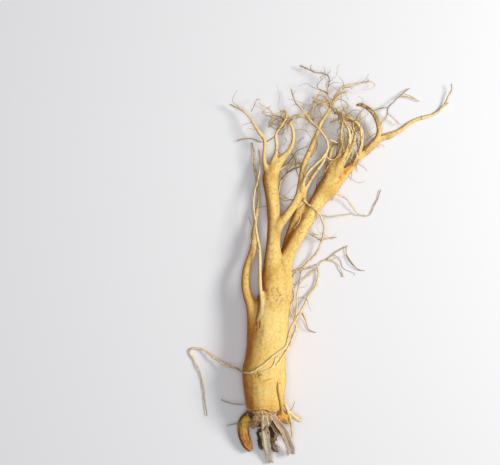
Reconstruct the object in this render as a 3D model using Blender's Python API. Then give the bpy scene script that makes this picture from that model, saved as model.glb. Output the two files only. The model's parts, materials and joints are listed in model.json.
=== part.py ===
"""One fresh ginseng root, as dug, lying on its side on a flat surface.

Metres, +Z up. +Y runs from the neck to the root tips and +X to the right, seen from above. The origin is
the middle of the small flat spot under the body, where the root's weight rests.

The root grew as one piece, so its body, neck, legs and rootlets are lofted along their own routes and joined
into one solid. The two dead stem stubs are other pieces, of dry grey fibre, each seated against the neck.
"""

import math

import bmesh
import bpy
import numpy as np

MM = 0.001

# Driving dimensions, in millimetres.
BODY_RADIUS = 14.2
NECK_RADIUS = 8.2
STEM_WALL = 1.6
SEAT_GAP = 0.3
# The body lies flat on the ground, and everything else that comes low stays this far above it.
LOWEST = 0.15

# How finely each kind of root is lofted: sides round it, and the spacing of its rings in millimetres.
BODY_MESH = (24, 5.0)
LEG_MESH = (10, 5.0)
BRANCH_MESH = (6, 4.8)
FIBRE_MESH = (5, 5.4)

# A stem's strap: the part of a circle that its section covers, in degrees, the points on that stretch, and
# the spacing of its sections in millimetres.
STEM_ARC = (205, 335)
STEM_SIDES = 7
STEM_SPACING = 4.0
# A root's rounded tip: each ring's radius and its reach past the end, as shares of the end's radius.
TIP_RINGS = ((0.72, 0.55), (0.3, 0.9))
SHARP_ANGLE = 40

# Low swellings round the body and legs: share of the radius, waves round, waves per millimetre, and phase.
SWELLINGS = ((0.022, 2, 0.045, 0.6), (0.014, 3, -0.083, 2.1), (0.010, 5, 0.121, 4.0))

# Every route is a list of (x, y, z, radius) in millimetres, from where it grows to its tip.
# The body's radii are shares of BODY_RADIUS, and its last point lies in the crotch of the legs.
BODY = [
    (-3.4, -56.6, 13.4, 0.68), (-3.1, -53.2, 13.7, 0.84), (-2.5, -49.0, 14.2, 0.92),
    (-2.7, -42.0, 14.7, 1.00), (-2.5, -35.0, 15.2, 1.05), (-2.8, -28.0, 15.0, 1.04),
    (-2.1, -21.0, 13.9, 1.00), (-1.5, -14.0, 13.1, 0.98), (-0.4, -7.0, 12.9, 1.00),
    (0.4, 0.0, 12.9, 0.99), (1.2, 7.0, 12.7, 0.95), (2.1, 14.0, 13.2, 0.88), (3.4, 21.0, 13.6, 0.78),
    (4.5, 28.0, 13.7, 0.68), (5.8, 35.0, 13.2, 0.60), (6.8, 42.0, 12.6, 0.48),
]
NECK = [
    (-3.2, -52.0, 13.6, 1.18), (-2.6, -56.0, 13.4, 1.05), (-1.8, -60.0, 12.8, 0.94),
    (-1.0, -64.0, 12.2, 0.78), (-0.2, -67.6, 11.8, 0.50),
]
# The knuckles of old stem scars on the neck: centre and radius.
KNUCKLES = [
    (-8.6, -58.2, 14.6, 3.6), (-4.6, -60.4, 17.0, 3.4), (2.0, -58.8, 17.2, 3.6), (5.4, -61.6, 14.2, 3.6),
    (-6.4, -64.6, 12.6, 3.0), (2.8, -66.0, 12.0, 3.0), (-2.6, -61.8, 6.6, 3.4), (4.4, -58.4, 8.0, 3.6),
    (-12.0, -57.6, 13.0, 3.0),
]
# The legs below that grow from the neck, where the stems stand.
NECK_LEGS = ("side_root", "bud")
LEGS = {
    "centre_leg": [
        (2.5, 17.5, 14.5, 7.0), (2.8, 28.0, 14.8, 6.7), (2.7, 36.4, 14.4, 6.4), (2.8, 45.5, 13.8, 6.0),
        (3.5, 54.6, 13.2, 5.4), (3.9, 64.4, 12.5, 4.9), (4.2, 73.5, 11.8, 4.7), (3.9, 82.6, 11.2, 4.7),
        (3.2, 91.0, 10.6, 5.0), (2.1, 99.4, 10.0, 5.2), (1.1, 106.4, 9.6, 4.9), (0.6, 110.6, 9.7, 3.7),
        (0.2, 113.8, 9.9, 2.2),
    ],
    "right_leg": [
        (8.2, 22.4, 13.6, 7.5), (10.4, 32.2, 13.6, 6.2), (11.8, 40.6, 13.2, 4.9),
        (13.3, 49.0, 12.8, 4.3), (15.8, 56.0, 12.3, 4.5), (19.5, 63.0, 11.8, 4.7),
        (23.5, 70.0, 11.3, 4.6), (27.7, 77.0, 10.7, 4.9), (31.4, 84.0, 9.6, 5.3), (35.4, 91.0, 8.4, 5.6),
        (40.2, 97.4, 7.2, 6.1), (45.6, 102.6, 6.2, 5.8), (51.4, 107.6, 5.2, 4.4), (56.8, 112.6, 4.6, 3.1),
        (61.4, 118.0, 4.2, 2.6), (66.2, 122.6, 4.0, 2.4), (70.7, 127.0, 3.9, 2.4), (75.6, 131.6, 3.5, 2.4),
        (80.5, 134.9, 3.0, 2.1), (86.8, 136.9, 2.5, 1.85),
    ],
    "right_leg_head": [
        (41.0, 98.0, 7.6, 5.6), (43.6, 105.2, 8.4, 5.3), (45.6, 111.6, 9.4, 4.4), (48.0, 117.4, 10.2, 3.4),
        (50.2, 122.6, 11.2, 2.2), (51.6, 127.6, 12.0, 1.6),
    ],
    "middle_leg": [
        (4.6, 62.0, 12.6, 2.6), (6.4, 69.6, 13.4, 2.9), (9.0, 74.8, 14.3, 3.0), (12.2, 79.0, 14.8, 2.95),
        (15.6, 83.6, 14.6, 2.85), (18.9, 88.6, 14.2, 2.7),
        (21.4, 94.5, 13.8, 2.45), (22.6, 101.5, 13.4, 2.3), (23.7, 108.5, 13.0, 2.25),
        (25.2, 115.5, 12.5, 2.2), (27.7, 121.8, 12.0, 2.1), (30.1, 127.4, 11.6, 1.95),
        (32.6, 132.7, 11.2, 1.7),
    ],
    "hind_leg": [
        (8.4, 31.5, 11.4, 4.2), (10.8, 43.4, 9.6, 3.8), (12.6, 54.6, 8.2, 3.4), (15.0, 64.4, 7.4, 3.3),
        (17.9, 72.8, 7.6, 3.3), (20.7, 80.5, 8.8, 3.1), (23.1, 86.8, 11.0, 2.8), (24.6, 91.8, 13.2, 2.3),
        (24.6, 95.0, 13.4, 1.6),
    ],
    "left_leg": [
        (-8.6, -5.6, 15.6, 4.2), (-10.3, 2.8, 16.4, 4.1), (-11.0, 10.5, 16.8, 3.8),
        (-11.7, 16.8, 16.8, 3.6), (-13.6, 22.4, 16.2, 3.35), (-15.2, 28.0, 15.4, 3.2),
        (-15.7, 34.3, 14.4, 3.15), (-15.1, 41.3, 13.4, 3.0), (-13.3, 48.0, 12.4, 2.8),
        (-11.2, 54.3, 11.4, 2.6), (-9.9, 60.9, 10.4, 2.25), (-9.5, 67.9, 9.4, 1.8),
    ],
    "side_root": [
        (-8.6, -58.8, 12.2, 3.2), (-12.4, -60.2, 11.4, 3.5), (-15.6, -62.6, 10.0, 3.8),
        (-17.4, -66.6, 8.0, 4.0), (-17.6, -71.2, 6.2, 4.0), (-16.6, -75.8, 4.9, 3.9),
        (-15.0, -80.4, 3.9, 3.5), (-13.2, -84.2, 3.2, 2.5),
    ],
    "nub": [
        (-6.6, -60.0, 10.4, 2.6), (-8.4, -63.0, 9.4, 2.5), (-9.5, -66.5, 8.6, 2.2), (-10.9, -68.6, 8.0, 1.5),
    ],
    "bud": [
        (4.8, -56.6, 12.4, 4.6), (8.6, -58.3, 12.8, 3.9), (11.6, -60.8, 12.8, 3.1),
        (13.7, -63.6, 12.4, 1.7),
    ],
}
BRANCHES = {
    "left_leg_end": [
        (-9.6, 65.6, 9.7, 1.9), (-8.8, 75.6, 8.2, 1.45), (-7.4, 83.3, 7.0, 1.25), (-6.3, 91.7, 5.8, 1.1),
        (-6.7, 100.1, 4.6, 1.0), (-8.4, 107.8, 3.4, 0.9), (-9.8, 116.2, 2.4, 0.8),
        (-9.5, 124.6, 1.6, 0.7), (-11.2, 131.6, 0.8, 0.6),
    ],
    "front_root": [
        (-7.2, 4.2, 21.6, 1.6), (-5.5, 8.4, 23.6, 1.7), (-4.1, 14.0, 24.0, 1.7), (-4.3, 21.0, 23.2, 1.6),
        (-5.2, 28.0, 22.2, 1.5), (-5.6, 35.0, 21.2, 1.4), (-5.8, 42.0, 20.4, 1.3), (-5.7, 49.0, 19.6, 1.25),
        (-6.1, 56.7, 18.4, 1.15), (-7.1, 63.7, 17.0, 1.1),
        (-8.3, 71.4, 15.6, 1.0), (-9.4, 79.8, 14.2, 0.95), (-10.1, 88.2, 12.8, 0.9),
        (-9.5, 95.9, 11.4, 0.85), (-7.7, 102.9, 10.6, 0.8), (-6.0, 110.6, 10.0, 0.75),
        (-5.6, 119.0, 9.6, 0.7), (-6.4, 126.0, 9.0, 0.6),
    ],
    "right_leg_tail": [
        (84.6, 136.3, 2.6, 1.95), (93.1, 140.0, 2.1, 1.6), (100.1, 145.3, 1.7, 1.4),
        (107.1, 148.8, 1.4, 1.3), (114.1, 150.5, 1.3, 1.2), (119.0, 153.0, 1.3, 1.0),
        (122.5, 156.1, 1.8, 0.8), (125.3, 159.6, 2.6, 0.7), (127.4, 164.5, 3.6, 0.6),
        (129.5, 169.4, 4.6, 0.55), (129.2, 172.6, 5.2, 0.5),
    ],
    "right_leg_tail_fork": [(119.0, 153.0, 1.3, 0.8), (123.6, 156.2, 1.2, 0.65), (127.4, 159.6, 1.0, 0.5)],
    "curled_root": [
        (69.6, 126.0, 4.2, 2.3), (75.2, 131.9, 5.4, 2.1), (77.8, 137.2, 7.0, 1.95),
        (78.0, 142.1, 8.5, 1.9), (76.2, 147.7, 10.0, 1.75), (73.2, 152.3, 11.0, 1.65),
        (69.3, 155.8, 11.5, 1.5), (65.5, 157.7, 11.2, 1.35), (62.4, 157.7, 10.6, 0.9),
    ],
    "middle_leg_end": [
        (31.8, 131.0, 11.3, 1.75), (34.7, 138.6, 10.8, 1.5), (37.1, 144.9, 10.3, 1.4),
        (40.6, 150.5, 9.8, 1.35), (44.1, 155.8, 9.2, 1.3), (46.6, 161.4, 8.6, 1.1),
        (49.0, 166.6, 8.0, 1.0), (52.5, 170.1, 7.2, 0.9), (57.4, 171.9, 6.2, 0.75),
        (63.0, 172.6, 5.0, 0.65), (67.2, 174.0, 3.8, 0.55), (71.4, 175.0, 2.6, 0.5),
    ],
    "head_left": [
        (0.4, 107.6, 10.2, 2.2), (-2.1, 115.5, 11.5, 1.7), (-2.8, 122.5, 12.3, 1.5),
        (-2.1, 128.8, 12.6, 1.4), (-2.8, 133.7, 12.4, 1.3), (-6.0, 138.3, 11.8, 1.25),
        (-9.5, 143.5, 11.0, 1.15), (-12.6, 148.8, 10.0, 1.05), (-16.8, 153.0, 8.8, 0.9),
        (-21.7, 156.1, 7.4, 0.7), (-26.6, 158.2, 6.0, 0.55),
    ],
    "head_middle": [
        (2.0, 108.6, 10.0, 2.2), (3.3, 117.6, 10.8, 1.8), (5.6, 123.9, 11.8, 1.5),
        (6.0, 130.5, 12.8, 1.3), (5.3, 135.8, 13.6, 1.2), (7.7, 140.7, 14.2, 1.1),
        (10.9, 145.3, 14.2, 1.0), (13.0, 149.5, 13.6, 0.9), (11.6, 153.2, 12.6, 0.75),
        (8.6, 152.6, 11.6, 0.6),
    ],
    "head_right": [
        (2.0, 105.6, 9.4, 4.7), (5.0, 113.2, 9.3, 3.8), (9.0, 119.2, 9.0, 2.9), (13.4, 123.8, 8.6, 2.1),
        (16.8, 129.2, 8.0, 1.6), (17.9, 135.1, 7.6, 1.35), (17.5, 140.7, 7.4, 1.2),
        (15.1, 145.6, 7.4, 1.1), (10.5, 148.4, 7.2, 1.05), (5.6, 148.9, 6.6, 0.95),
        (2.3, 146.7, 5.6, 0.8), (0.9, 142.6, 4.4, 0.6),
    ],
    "head_bridge": [
        (15.2, 145.4, 7.6, 0.9), (18.9, 149.6, 9.5, 1.1), (23.1, 150.0, 11.4, 1.1),
        (26.8, 148.2, 13.0, 1.1), (30.6, 145.2, 14.4, 1.0),
    ],
    "head_back": [
        (3.6, 108.6, 7.6, 1.1), (9.1, 113.0, 4.6, 1.05), (14.0, 115.9, 4.2, 1.1),
        (19.6, 116.9, 6.4, 1.1), (25.0, 116.4, 11.4, 1.0),
    ],
    "knot_loop": [
        (24.7, 92.6, 13.2, 1.7), (24.2, 97.6, 14.2, 1.5), (24.9, 103.6, 16.0, 1.25),
        (27.7, 109.9, 17.4, 1.2), (31.9, 114.8, 18.4, 1.15), (36.4, 118.7, 19.0, 1.15),
        (39.9, 123.2, 19.2, 1.15), (41.7, 128.1, 18.8, 1.1), (40.3, 133.7, 17.8, 1.1),
        (37.1, 138.6, 16.6, 1.05), (33.3, 142.8, 15.4, 1.0), (29.4, 147.0, 14.0, 0.95),
        (26.3, 151.2, 12.5, 0.8), (22.4, 155.8, 11.0, 0.65), (19.3, 159.6, 9.5, 0.55),
        (17.5, 164.5, 8.4, 0.5), (16.1, 169.0, 7.8, 0.45),
    ],
    "knot_strand": [
        (24.9, 93.4, 13.0, 1.5), (26.7, 99.0, 13.0, 1.35), (30.3, 106.0, 13.6, 1.3),
        (34.4, 112.0, 15.0, 1.3), (38.0, 117.0, 17.0, 1.2), (40.4, 123.0, 18.8, 1.1),
    ],
    "tangle_left": [
        (50.2, 122.6, 11.2, 1.8), (51.8, 128.1, 12.0, 1.5), (52.2, 135.1, 12.6, 1.35),
        (51.8, 142.1, 12.8, 1.2),
        (51.1, 148.1, 12.4, 1.05), (48.3, 152.3, 11.6, 0.95), (44.8, 155.8, 10.2, 0.9),
        (40.6, 158.2, 9.6, 0.8), (36.4, 159.3, 9.0, 0.75), (32.9, 158.2, 8.0, 0.7),
        (30.1, 154.4, 7.0, 0.6), (27.6, 150.4, 6.4, 0.5),
    ],
    "tangle_middle": [
        (45.0, 105.6, 9.6, 2.4), (50.0, 114.8, 12.5, 2.0), (53.2, 121.5, 14.2, 1.6),
        (55.7, 127.8, 15.4, 1.4), (57.0, 133.7, 16.2, 1.25), (56.4, 139.3, 16.6, 1.15),
        (53.9, 144.2, 16.4, 1.05), (52.2, 149.1, 15.6, 0.95), (52.5, 152.8, 14.4, 0.75),
        (55.0, 155.8, 13.0, 0.55),
    ],
    "tangle_right": [
        (47.6, 107.0, 7.6, 2.6), (52.4, 116.4, 9.0, 1.9), (56.4, 123.4, 10.0, 1.6),
        (59.4, 129.9, 11.0, 1.4), (61.3, 136.2, 11.4, 1.3), (62.0, 141.8, 11.2, 1.1),
        (60.3, 145.6, 10.6, 0.95), (57.0, 147.6, 9.8, 0.85), (53.2, 149.2, 9.0, 0.75),
        (49.0, 151.6, 8.0, 0.6),
    ],
    "tangle_arch": [
        (60.4, 117.2, 4.8, 2.0), (64.2, 124.2, 7.6, 1.6), (65.6, 130.2, 10.2, 1.4),
        (65.8, 135.8, 12.0, 1.3), (64.6, 141.1, 13.2, 1.2), (61.6, 145.6, 13.8, 1.1),
        (57.4, 148.2, 13.8, 1.0), (51.6, 150.4, 13.0, 0.9), (45.6, 154.6, 10.4, 0.8),
    ],
    "tangle_fork": [
        (41.4, 106.4, 8.6, 2.0), (42.6, 115.5, 8.8, 1.8), (43.4, 120.4, 8.8, 1.6),
        (44.5, 126.0, 8.8, 1.4), (47.3, 130.4, 9.2, 1.2), (51.3, 132.9, 10.4, 1.0),
        (55.3, 134.6, 11.8, 0.9), (58.4, 138.0, 12.6, 0.8),
    ],
}
FIBRES = {
    "head_arch": [
        (4.6, 92.6, 8.6, 0.7), (7.7, 97.0, 7.4, 0.65), (9.1, 103.6, 6.0, 0.6), (13.3, 109.9, 5.0, 0.6),
        (18.2, 112.9, 5.4, 0.6), (22.6, 115.0, 8.6, 0.6),
    ],
    "tangle_bridge": [(52.2, 149.6, 12.4, 0.8), (48.3, 147.4, 12.0, 0.7), (44.1, 145.6, 11.4, 0.5)],
    "curl_rootlet": [
        (77.0, 141.6, 8.6, 0.8), (80.9, 146.3, 7.5, 0.65), (83.7, 151.2, 6.5, 0.6),
        (84.7, 156.5, 5.6, 0.6), (88.9, 160.3, 4.6, 0.55), (93.1, 164.9, 3.6, 0.5),
        (96.6, 168.0, 2.6, 0.5), (100.1, 169.8, 1.8, 0.45),
    ],
    "far_rootlet": [
        (44.0, 156.6, 9.0, 0.8), (42.7, 163.8, 9.5, 0.65), (42.0, 169.4, 9.5, 0.6),
        (43.1, 175.0, 9.0, 0.6), (41.7, 178.9, 8.4, 0.6), (37.1, 180.3, 7.6, 0.55),
        (31.5, 181.7, 6.6, 0.5), (26.6, 183.8, 5.4, 0.5), (22.4, 186.0, 4.2, 0.45),
    ],
    "far_loop": [
        (44.2, 157.2, 8.4, 0.6), (40.6, 162.8, 7.0, 0.55), (37.1, 164.9, 6.2, 0.5),
        (34.0, 163.1, 5.6, 0.5), (31.9, 160.3, 5.0, 0.45),
    ],
    "far_fork": [
        (45.0, 157.0, 8.8, 0.7), (47.6, 162.4, 9.6, 0.6), (50.4, 164.5, 10.4, 0.5),
        (54.6, 166.6, 11.0, 0.45),
    ],
    "knot_rootlet": [
        (24.5, 91.7, 13.4, 1.2), (27.7, 88.2, 15.6, 0.95), (31.5, 85.8, 16.6, 0.9),
        (35.4, 81.9, 15.4, 0.9), (37.8, 77.4, 12.5, 0.9), (39.2, 71.4, 9.5, 0.85),
        (38.5, 64.4, 7.0, 0.85), (36.1, 57.8, 5.2, 0.85), (32.2, 51.8, 4.0, 0.85),
        (28.0, 46.9, 3.2, 0.85), (23.8, 42.7, 2.8, 0.9), (19.6, 39.9, 3.4, 0.85), (16.8, 35.4, 4.6, 0.8),
        (17.2, 30.1, 5.6, 0.8), (18.9, 25.2, 6.4, 0.8), (17.6, 20.3, 7.6, 0.8), (16.0, 16.8, 8.8, 0.8),
        (15.7, 13.6, 9.6, 0.8), (16.9, 10.0, 9.9, 0.8), (18.9, 6.3, 9.6, 0.8),
    ],
    "over_body_long": [
        (-8.6, -28.3, 28.4, 0.85), (-5.4, -26.0, 29.3, 0.95),
        (-1.4, -22.8, 28.9, 0.95), (2.8, -18.9, 27.4, 0.9), (7.0, -15.4, 24.6, 0.9),
        (10.9, -11.9, 20.8, 0.9), (13.5, -7.0, 17.4, 0.9), (14.6, -2.8, 14.8, 0.9), (16.2, 1.4, 12.2, 0.9),
        (18.9, 6.3, 9.6, 0.95), (22.6, 11.9, 6.4, 0.85), (25.6, 17.5, 4.4, 0.8), (28.0, 22.4, 3.4, 0.8),
        (31.5, 27.0, 2.6, 0.75), (34.3, 32.2, 2.2, 0.7), (35.7, 37.8, 2.2, 0.65), (34.7, 43.4, 2.8, 0.6),
    ],
    "over_body_short": [
        (18.9, 6.3, 9.6, 0.9), (19.5, 1.4, 9.6, 0.85), (18.0, -3.5, 10.8, 0.85), (15.9, -8.4, 13.4, 0.8),
        (13.5, -13.3, 17.2, 0.8), (10.8, -17.5, 20.8, 0.75), (7.7, -21.7, 24.4, 0.75),
        (5.4, -24.4, 25.9, 0.6),
    ],
    "right_rootlet": [
        (18.9, 6.3, 9.6, 0.9), (20.2, 13.0, 6.8, 0.85), (20.2, 19.6, 5.0, 0.8), (20.7, 25.2, 4.0, 0.75),
        (22.1, 30.8, 3.3, 0.7), (25.2, 35.4, 2.8, 0.65), (29.8, 38.9, 2.4, 0.6), (34.3, 43.1, 2.2, 0.6),
        (38.2, 47.6, 2.0, 0.55), (42.7, 50.1, 1.8, 0.55), (47.6, 53.9, 1.6, 0.5),
        (51.8, 56.7, 1.6, 0.45), (56.0, 58.8, 2.0, 0.45),
    ],
    "right_rootlet_fork": [
        (41.4, 49.4, 1.9, 0.55), (46.9, 48.0, 1.6, 0.5), (50.1, 44.5, 1.4, 0.5), (52.2, 40.6, 1.2, 0.45),
        (53.2, 37.1, 1.0, 0.45),
    ],
    "crotch_rootlet": [
        (12.6, 38.2, 12.0, 0.9), (15.4, 39.4, 10.6, 0.85), (20.0, 41.7, 7.0, 0.8),
        (24.5, 42.6, 4.6, 0.75), (29.4, 43.4, 3.4, 0.7), (33.6, 45.5, 3.0, 0.6),
    ],
    "leg_rootlet": [
        (23.6, 69.2, 10.6, 0.8), (28.7, 68.3, 8.4, 0.65), (33.6, 65.8, 5.6, 0.6),
        (37.8, 63.4, 5.0, 0.55), (42.7, 64.4, 3.0, 0.5), (48.3, 64.8, 2.0, 0.45),
    ],
    "outer_rootlet": [
        (35.6, 88.6, 9.4, 0.8), (39.9, 90.6, 10.0, 0.65), (43.4, 94.5, 9.0, 0.6), (46.9, 95.9, 7.6, 0.6),
        (51.1, 93.8, 6.0, 0.55), (56.0, 91.0, 4.6, 0.55), (59.5, 85.8, 3.2, 0.5), (63.0, 81.9, 2.2, 0.5),
        (67.9, 80.2, 1.4, 0.5), (72.1, 80.9, 1.0, 0.45), (74.9, 86.8, 1.0, 0.45),
        (77.7, 92.4, 1.0, 0.45), (79.8, 98.4, 1.0, 0.4),
    ],
    "knot_fork": [
        (25.4, 88.6, 15.0, 0.8), (22.8, 84.0, 16.2, 0.65), (22.4, 78.6, 15.6, 0.6),
        (20.6, 73.6, 14.2, 0.6), (18.4, 70.4, 12.4, 0.6),
    ],
    "left_rootlet": [
        (-6.0, -28.2, 29.4, 0.95), (-9.8, -28.4, 27.9, 1.0), (-14.0, -28.9, 24.6, 1.0),
        (-18.4, -28.2, 18.5, 1.0), (-22.4, -26.6, 12.5, 1.0), (-28.7, -24.9, 8.5, 1.0),
        (-35.0, -22.0, 5.6, 0.95), (-40.6, -17.9, 3.6, 0.95), (-45.2, -14.4, 2.2, 0.9),
        (-50.4, -13.3, 1.6, 0.9), (-54.4, -13.9, 1.4, 0.85), (-55.2, -16.6, 1.3, 0.8),
        (-52.8, -21.0, 1.2, 0.8), (-49.4, -27.0, 1.1, 0.75), (-46.9, -33.6, 1.1, 0.7),
        (-45.5, -42.0, 1.1, 0.65), (-44.5, -51.1, 1.2, 0.6), (-42.7, -60.9, 1.3, 0.5),
    ],
    "neck_rootlet": [
        (-10.4, -51.6, 13.4, 0.7), (-14.7, -52.2, 12.0, 0.6), (-19.6, -52.2, 10.0, 0.55),
        (-24.5, -51.7, 8.0, 0.5), (-28.7, -50.8, 6.0, 0.45), (-32.9, -49.4, 4.5, 0.4),
    ],
    "side_rootlet": [
        (-17.0, -65.4, 7.4, 0.6), (-21.0, -65.8, 6.4, 0.5), (-24.5, -66.5, 5.2, 0.45),
        (-28.7, -67.9, 4.0, 0.4),
    ],
    "bud_rootlet": [
        (8.6, -44.6, 11.6, 1.1), (11.0, -50.0, 11.6, 1.3), (13.4, -55.6, 10.8, 1.3), (15.6, -62.0, 9.6, 1.0),
        (16.8, -68.6, 8.2, 0.8), (17.2, -75.6, 6.6, 0.6),
    ],
    "bud_rootlet_fork": [
        (13.4, -55.8, 10.8, 1.2), (17.0, -59.6, 9.4, 1.2), (20.0, -62.2, 8.2, 1.1), (22.4, -64.2, 7.2, 0.9),
    ],
}
# The dead stems: the middle of each strap's back, from the neck to its broken end, with half its width.
STEMS = {
    "dry_stem_middle": [
        (-2.6, -57.2, 23.2, 2.4), (-2.4, -61.0, 22.2, 2.6), (-2.0, -65.6, 20.0, 3.0),
        (-1.5, -70.0, 17.4, 3.4), (-1.1, -77.0, 12.6, 3.35), (-0.5, -82.4, 9.2, 3.3),
        (0.6, -88.0, 6.0, 3.1), (1.8, -95.2, 3.2, 2.8),
    ],
    "dry_stem_right": [
        (2.8, -58.8, 22.2, 2.6), (4.8, -62.8, 20.6, 3.2), (8.2, -68.0, 18.0, 3.7),
        (11.6, -72.8, 15.2, 3.5), (13.6, -77.4, 12.6, 3.2), (15.3, -81.4, 10.4, 3.4),
        (16.2, -85.0, 8.4, 3.8), (16.4, -89.0, 6.8, 3.5),
    ],
}
SPLINTERS = {
    "left_splinter": [
        (-2.9, -69.4, 15.4, 1.1), (-5.6, -69.6, 14.2, 0.85), (-7.6, -71.0, 12.8, 0.75),
        (-7.4, -73.4, 11.2, 0.75), (-5.9, -75.8, 9.6, 0.9), (-5.8, -79.4, 7.6, 1.25),
        (-5.2, -82.8, 5.8, 1.1), (-3.7, -85.6, 4.6, 0.5),
    ],
    "right_splinter": [
        (0.0, -70.0, 15.1, 1.1), (2.2, -74.0, 12.6, 1.2), (3.4, -78.0, 10.2, 1.2),
        (3.6, -80.8, 8.6, 1.0), (4.8, -83.6, 6.9, 1.2), (8.0, -86.0, 5.6, 0.5),
    ],
}

SKIN = ("fresh_root_skin", (0.80, 0.55, 0.24), 0.62)
DRY_STEM = ("dry_stem_fibre", (0.32, 0.28, 0.20), 0.9)


def clear_scene():
    for obj in list(bpy.data.objects):
        bpy.data.objects.remove(obj, do_unlink=True)


def material(name, colour, roughness):
    made = bpy.data.materials.new(name)
    made.use_nodes = True
    shader = made.node_tree.nodes["Principled BSDF"]
    shader.inputs["Base Color"].default_value = (*colour, 1.0)
    shader.inputs["Roughness"].default_value = roughness
    shader.inputs["Metallic"].default_value = 0.0
    return made


def smooth_route(points, spacing):
    """Rows of x, y, z and radius at an even spacing along a Catmull-Rom curve through the hand-set points."""
    points = np.array(points, float)
    before = 2 * points[0] - points[1]
    after = 2 * points[-1] - points[-2]
    padded = np.vstack([before, points, after])
    fine = []
    for a, b, c, d in zip(padded, padded[1:], padded[2:], padded[3:]):
        for t in np.linspace(0, 1, 12, endpoint=False):
            square, cube = (2 * a - 5 * b + 4 * c - d) * t**2, (3 * b - a - 3 * c + d) * t**3
            fine.append(0.5 * (2 * b + (c - a) * t + square + cube))
    fine.append(points[-1])
    fine = np.array(fine)
    along = np.concatenate([[0], np.cumsum(np.linalg.norm(np.diff(fine[:, :3], axis=0), axis=1))])
    places = np.linspace(0, along[-1], max(3, round(along[-1] / spacing) + 1))
    return np.column_stack([np.interp(places, along, column) for column in fine.T]), places


def frames_along(centres):
    """Two directions square to the route at each ring, carried along it without twist."""
    tangents = np.gradient(centres, axis=0)
    tangents /= np.linalg.norm(tangents, axis=1)[:, None]
    side = np.cross(tangents[0], (0, 0, 1))
    sides = []
    for tangent in tangents:
        side = side - tangent * np.dot(side, tangent)
        side /= np.linalg.norm(side)
        sides.append(side)
    sides = np.array(sides)
    return sides, np.cross(sides, tangents)


def ring_points(centre, across, up, radii, angles):
    spokes = np.cos(angles)[:, None] * across + np.sin(angles)[:, None] * up
    return centre + radii[:, None] * spokes


def solid(name, points, faces):
    """A mesh object from points in millimetres, with its faces turned outwards."""
    mesh = bpy.data.meshes.new(name)
    mesh.from_pydata([tuple(point) for point in np.array(points) * MM], [], faces)
    made = bpy.data.objects.new(name, mesh)
    bpy.context.scene.collection.objects.link(made)
    shape = bmesh.new()
    shape.from_mesh(mesh)
    bmesh.ops.recalc_face_normals(shape, faces=shape.faces)
    shape.to_mesh(mesh)
    shape.free()
    return made


def bridged(rings, sides):
    """Faces of a loft whose rings hold the same number of points, closed by a flat face at each end."""
    faces = [tuple(range(sides)), tuple(range((rings - 1) * sides, rings * sides))]
    for ring in range(rings - 1):
        for side in range(sides):
            following = (side + 1) % sides
            low, high = ring * sides, (ring + 1) * sides
            faces.append((low + side, low + following, high + following, high + side))
    return faces


def swelling(angles, place):
    """How far the skin stands in or out round one ring, as a share of its radius."""
    waves = [share * np.sin(count * angles + pace * place + phase) for share, count, pace, phase in SWELLINGS]
    return sum(waves)


def lofted_root(name, route, mesh, floor=LOWEST, swell=1.0, grow=0.0):
    """A root with round rings along its route, a rounded tip, and nothing lower than the floor."""
    sides, spacing = mesh
    rows, places = smooth_route(route, spacing)
    across, up = frames_along(rows[:, :3])
    angles = 2 * math.pi * (np.arange(sides) + 0.5) / sides
    rings = []
    for row, place, right, over in zip(rows, places, across, up):
        swollen = 1 + swell * swelling(angles, place)
        rings.append(ring_points(row[:3], right, over, (row[3] + grow) * swollen, angles))
    end = rows[-1]
    forward = rows[-1, :3] - rows[-2, :3]
    forward /= np.linalg.norm(forward)
    for share, reach in TIP_RINGS:
        centre = end[:3] + forward * (end[3] + grow) * reach
        rings.append(ring_points(centre, across[-1], up[-1], np.full(sides, (end[3] + grow) * share), angles))
    points = np.vstack(rings)
    points[:, 2] = np.maximum(points[:, 2], floor)
    return solid(name, points, bridged(len(rings), sides))


def knuckle(name, centre, radius, grow=0.0):
    """One rounded knuckle of the neck, where an old stem stood."""
    made = solid(name, [(0, 0, 0)], [])
    shape = bmesh.new()
    bmesh.ops.create_icosphere(shape, subdivisions=2, radius=(radius + grow) * MM)
    bmesh.ops.translate(shape, vec=[value * MM for value in centre], verts=shape.verts)
    shape.to_mesh(made.data)
    shape.free()
    return made


def neck_pieces(grow=0.0):
    """What the dry stems stand on: the neck, its knuckles and the top of the body."""
    scaled_neck = [(x, y, z, share * NECK_RADIUS) for x, y, z, share in NECK]
    scaled_body = [(x, y, z, share * BODY_RADIUS) for x, y, z, share in BODY]
    pieces = [
        lofted_root("body", scaled_body, BODY_MESH, floor=0.0, grow=grow),
        lofted_root("neck", scaled_neck, LEG_MESH, grow=grow),
    ]
    for number, (*centre, radius) in enumerate(KNUCKLES):
        pieces.append(knuckle(f"knuckle_{number}", centre, radius, grow))
    for name in NECK_LEGS:
        pieces.append(lofted_root(name, LEGS[name], LEG_MESH, grow=grow))
    return pieces


def boolean(target, pieces, operation):
    """The target joined with, or cut by, the pieces, which are then removed."""
    helpers = bpy.data.collections.new(f"{target.name}_helpers")
    bpy.context.scene.collection.children.link(helpers)
    for piece in pieces:
        bpy.context.scene.collection.objects.unlink(piece)
        helpers.objects.link(piece)
    modifier = target.modifiers.new(operation.lower(), "BOOLEAN")
    modifier.operation = operation
    modifier.operand_type = "COLLECTION"
    modifier.collection = helpers
    modifier.solver = "EXACT"
    bpy.context.view_layer.update()
    graph = bpy.context.evaluated_depsgraph_get()
    result = bpy.data.meshes.new_from_object(target.evaluated_get(graph))
    target.modifiers.clear()
    target.data = result
    for piece in pieces:
        bpy.data.objects.remove(piece, do_unlink=True)
    bpy.data.collections.remove(helpers)
    return target


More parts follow.
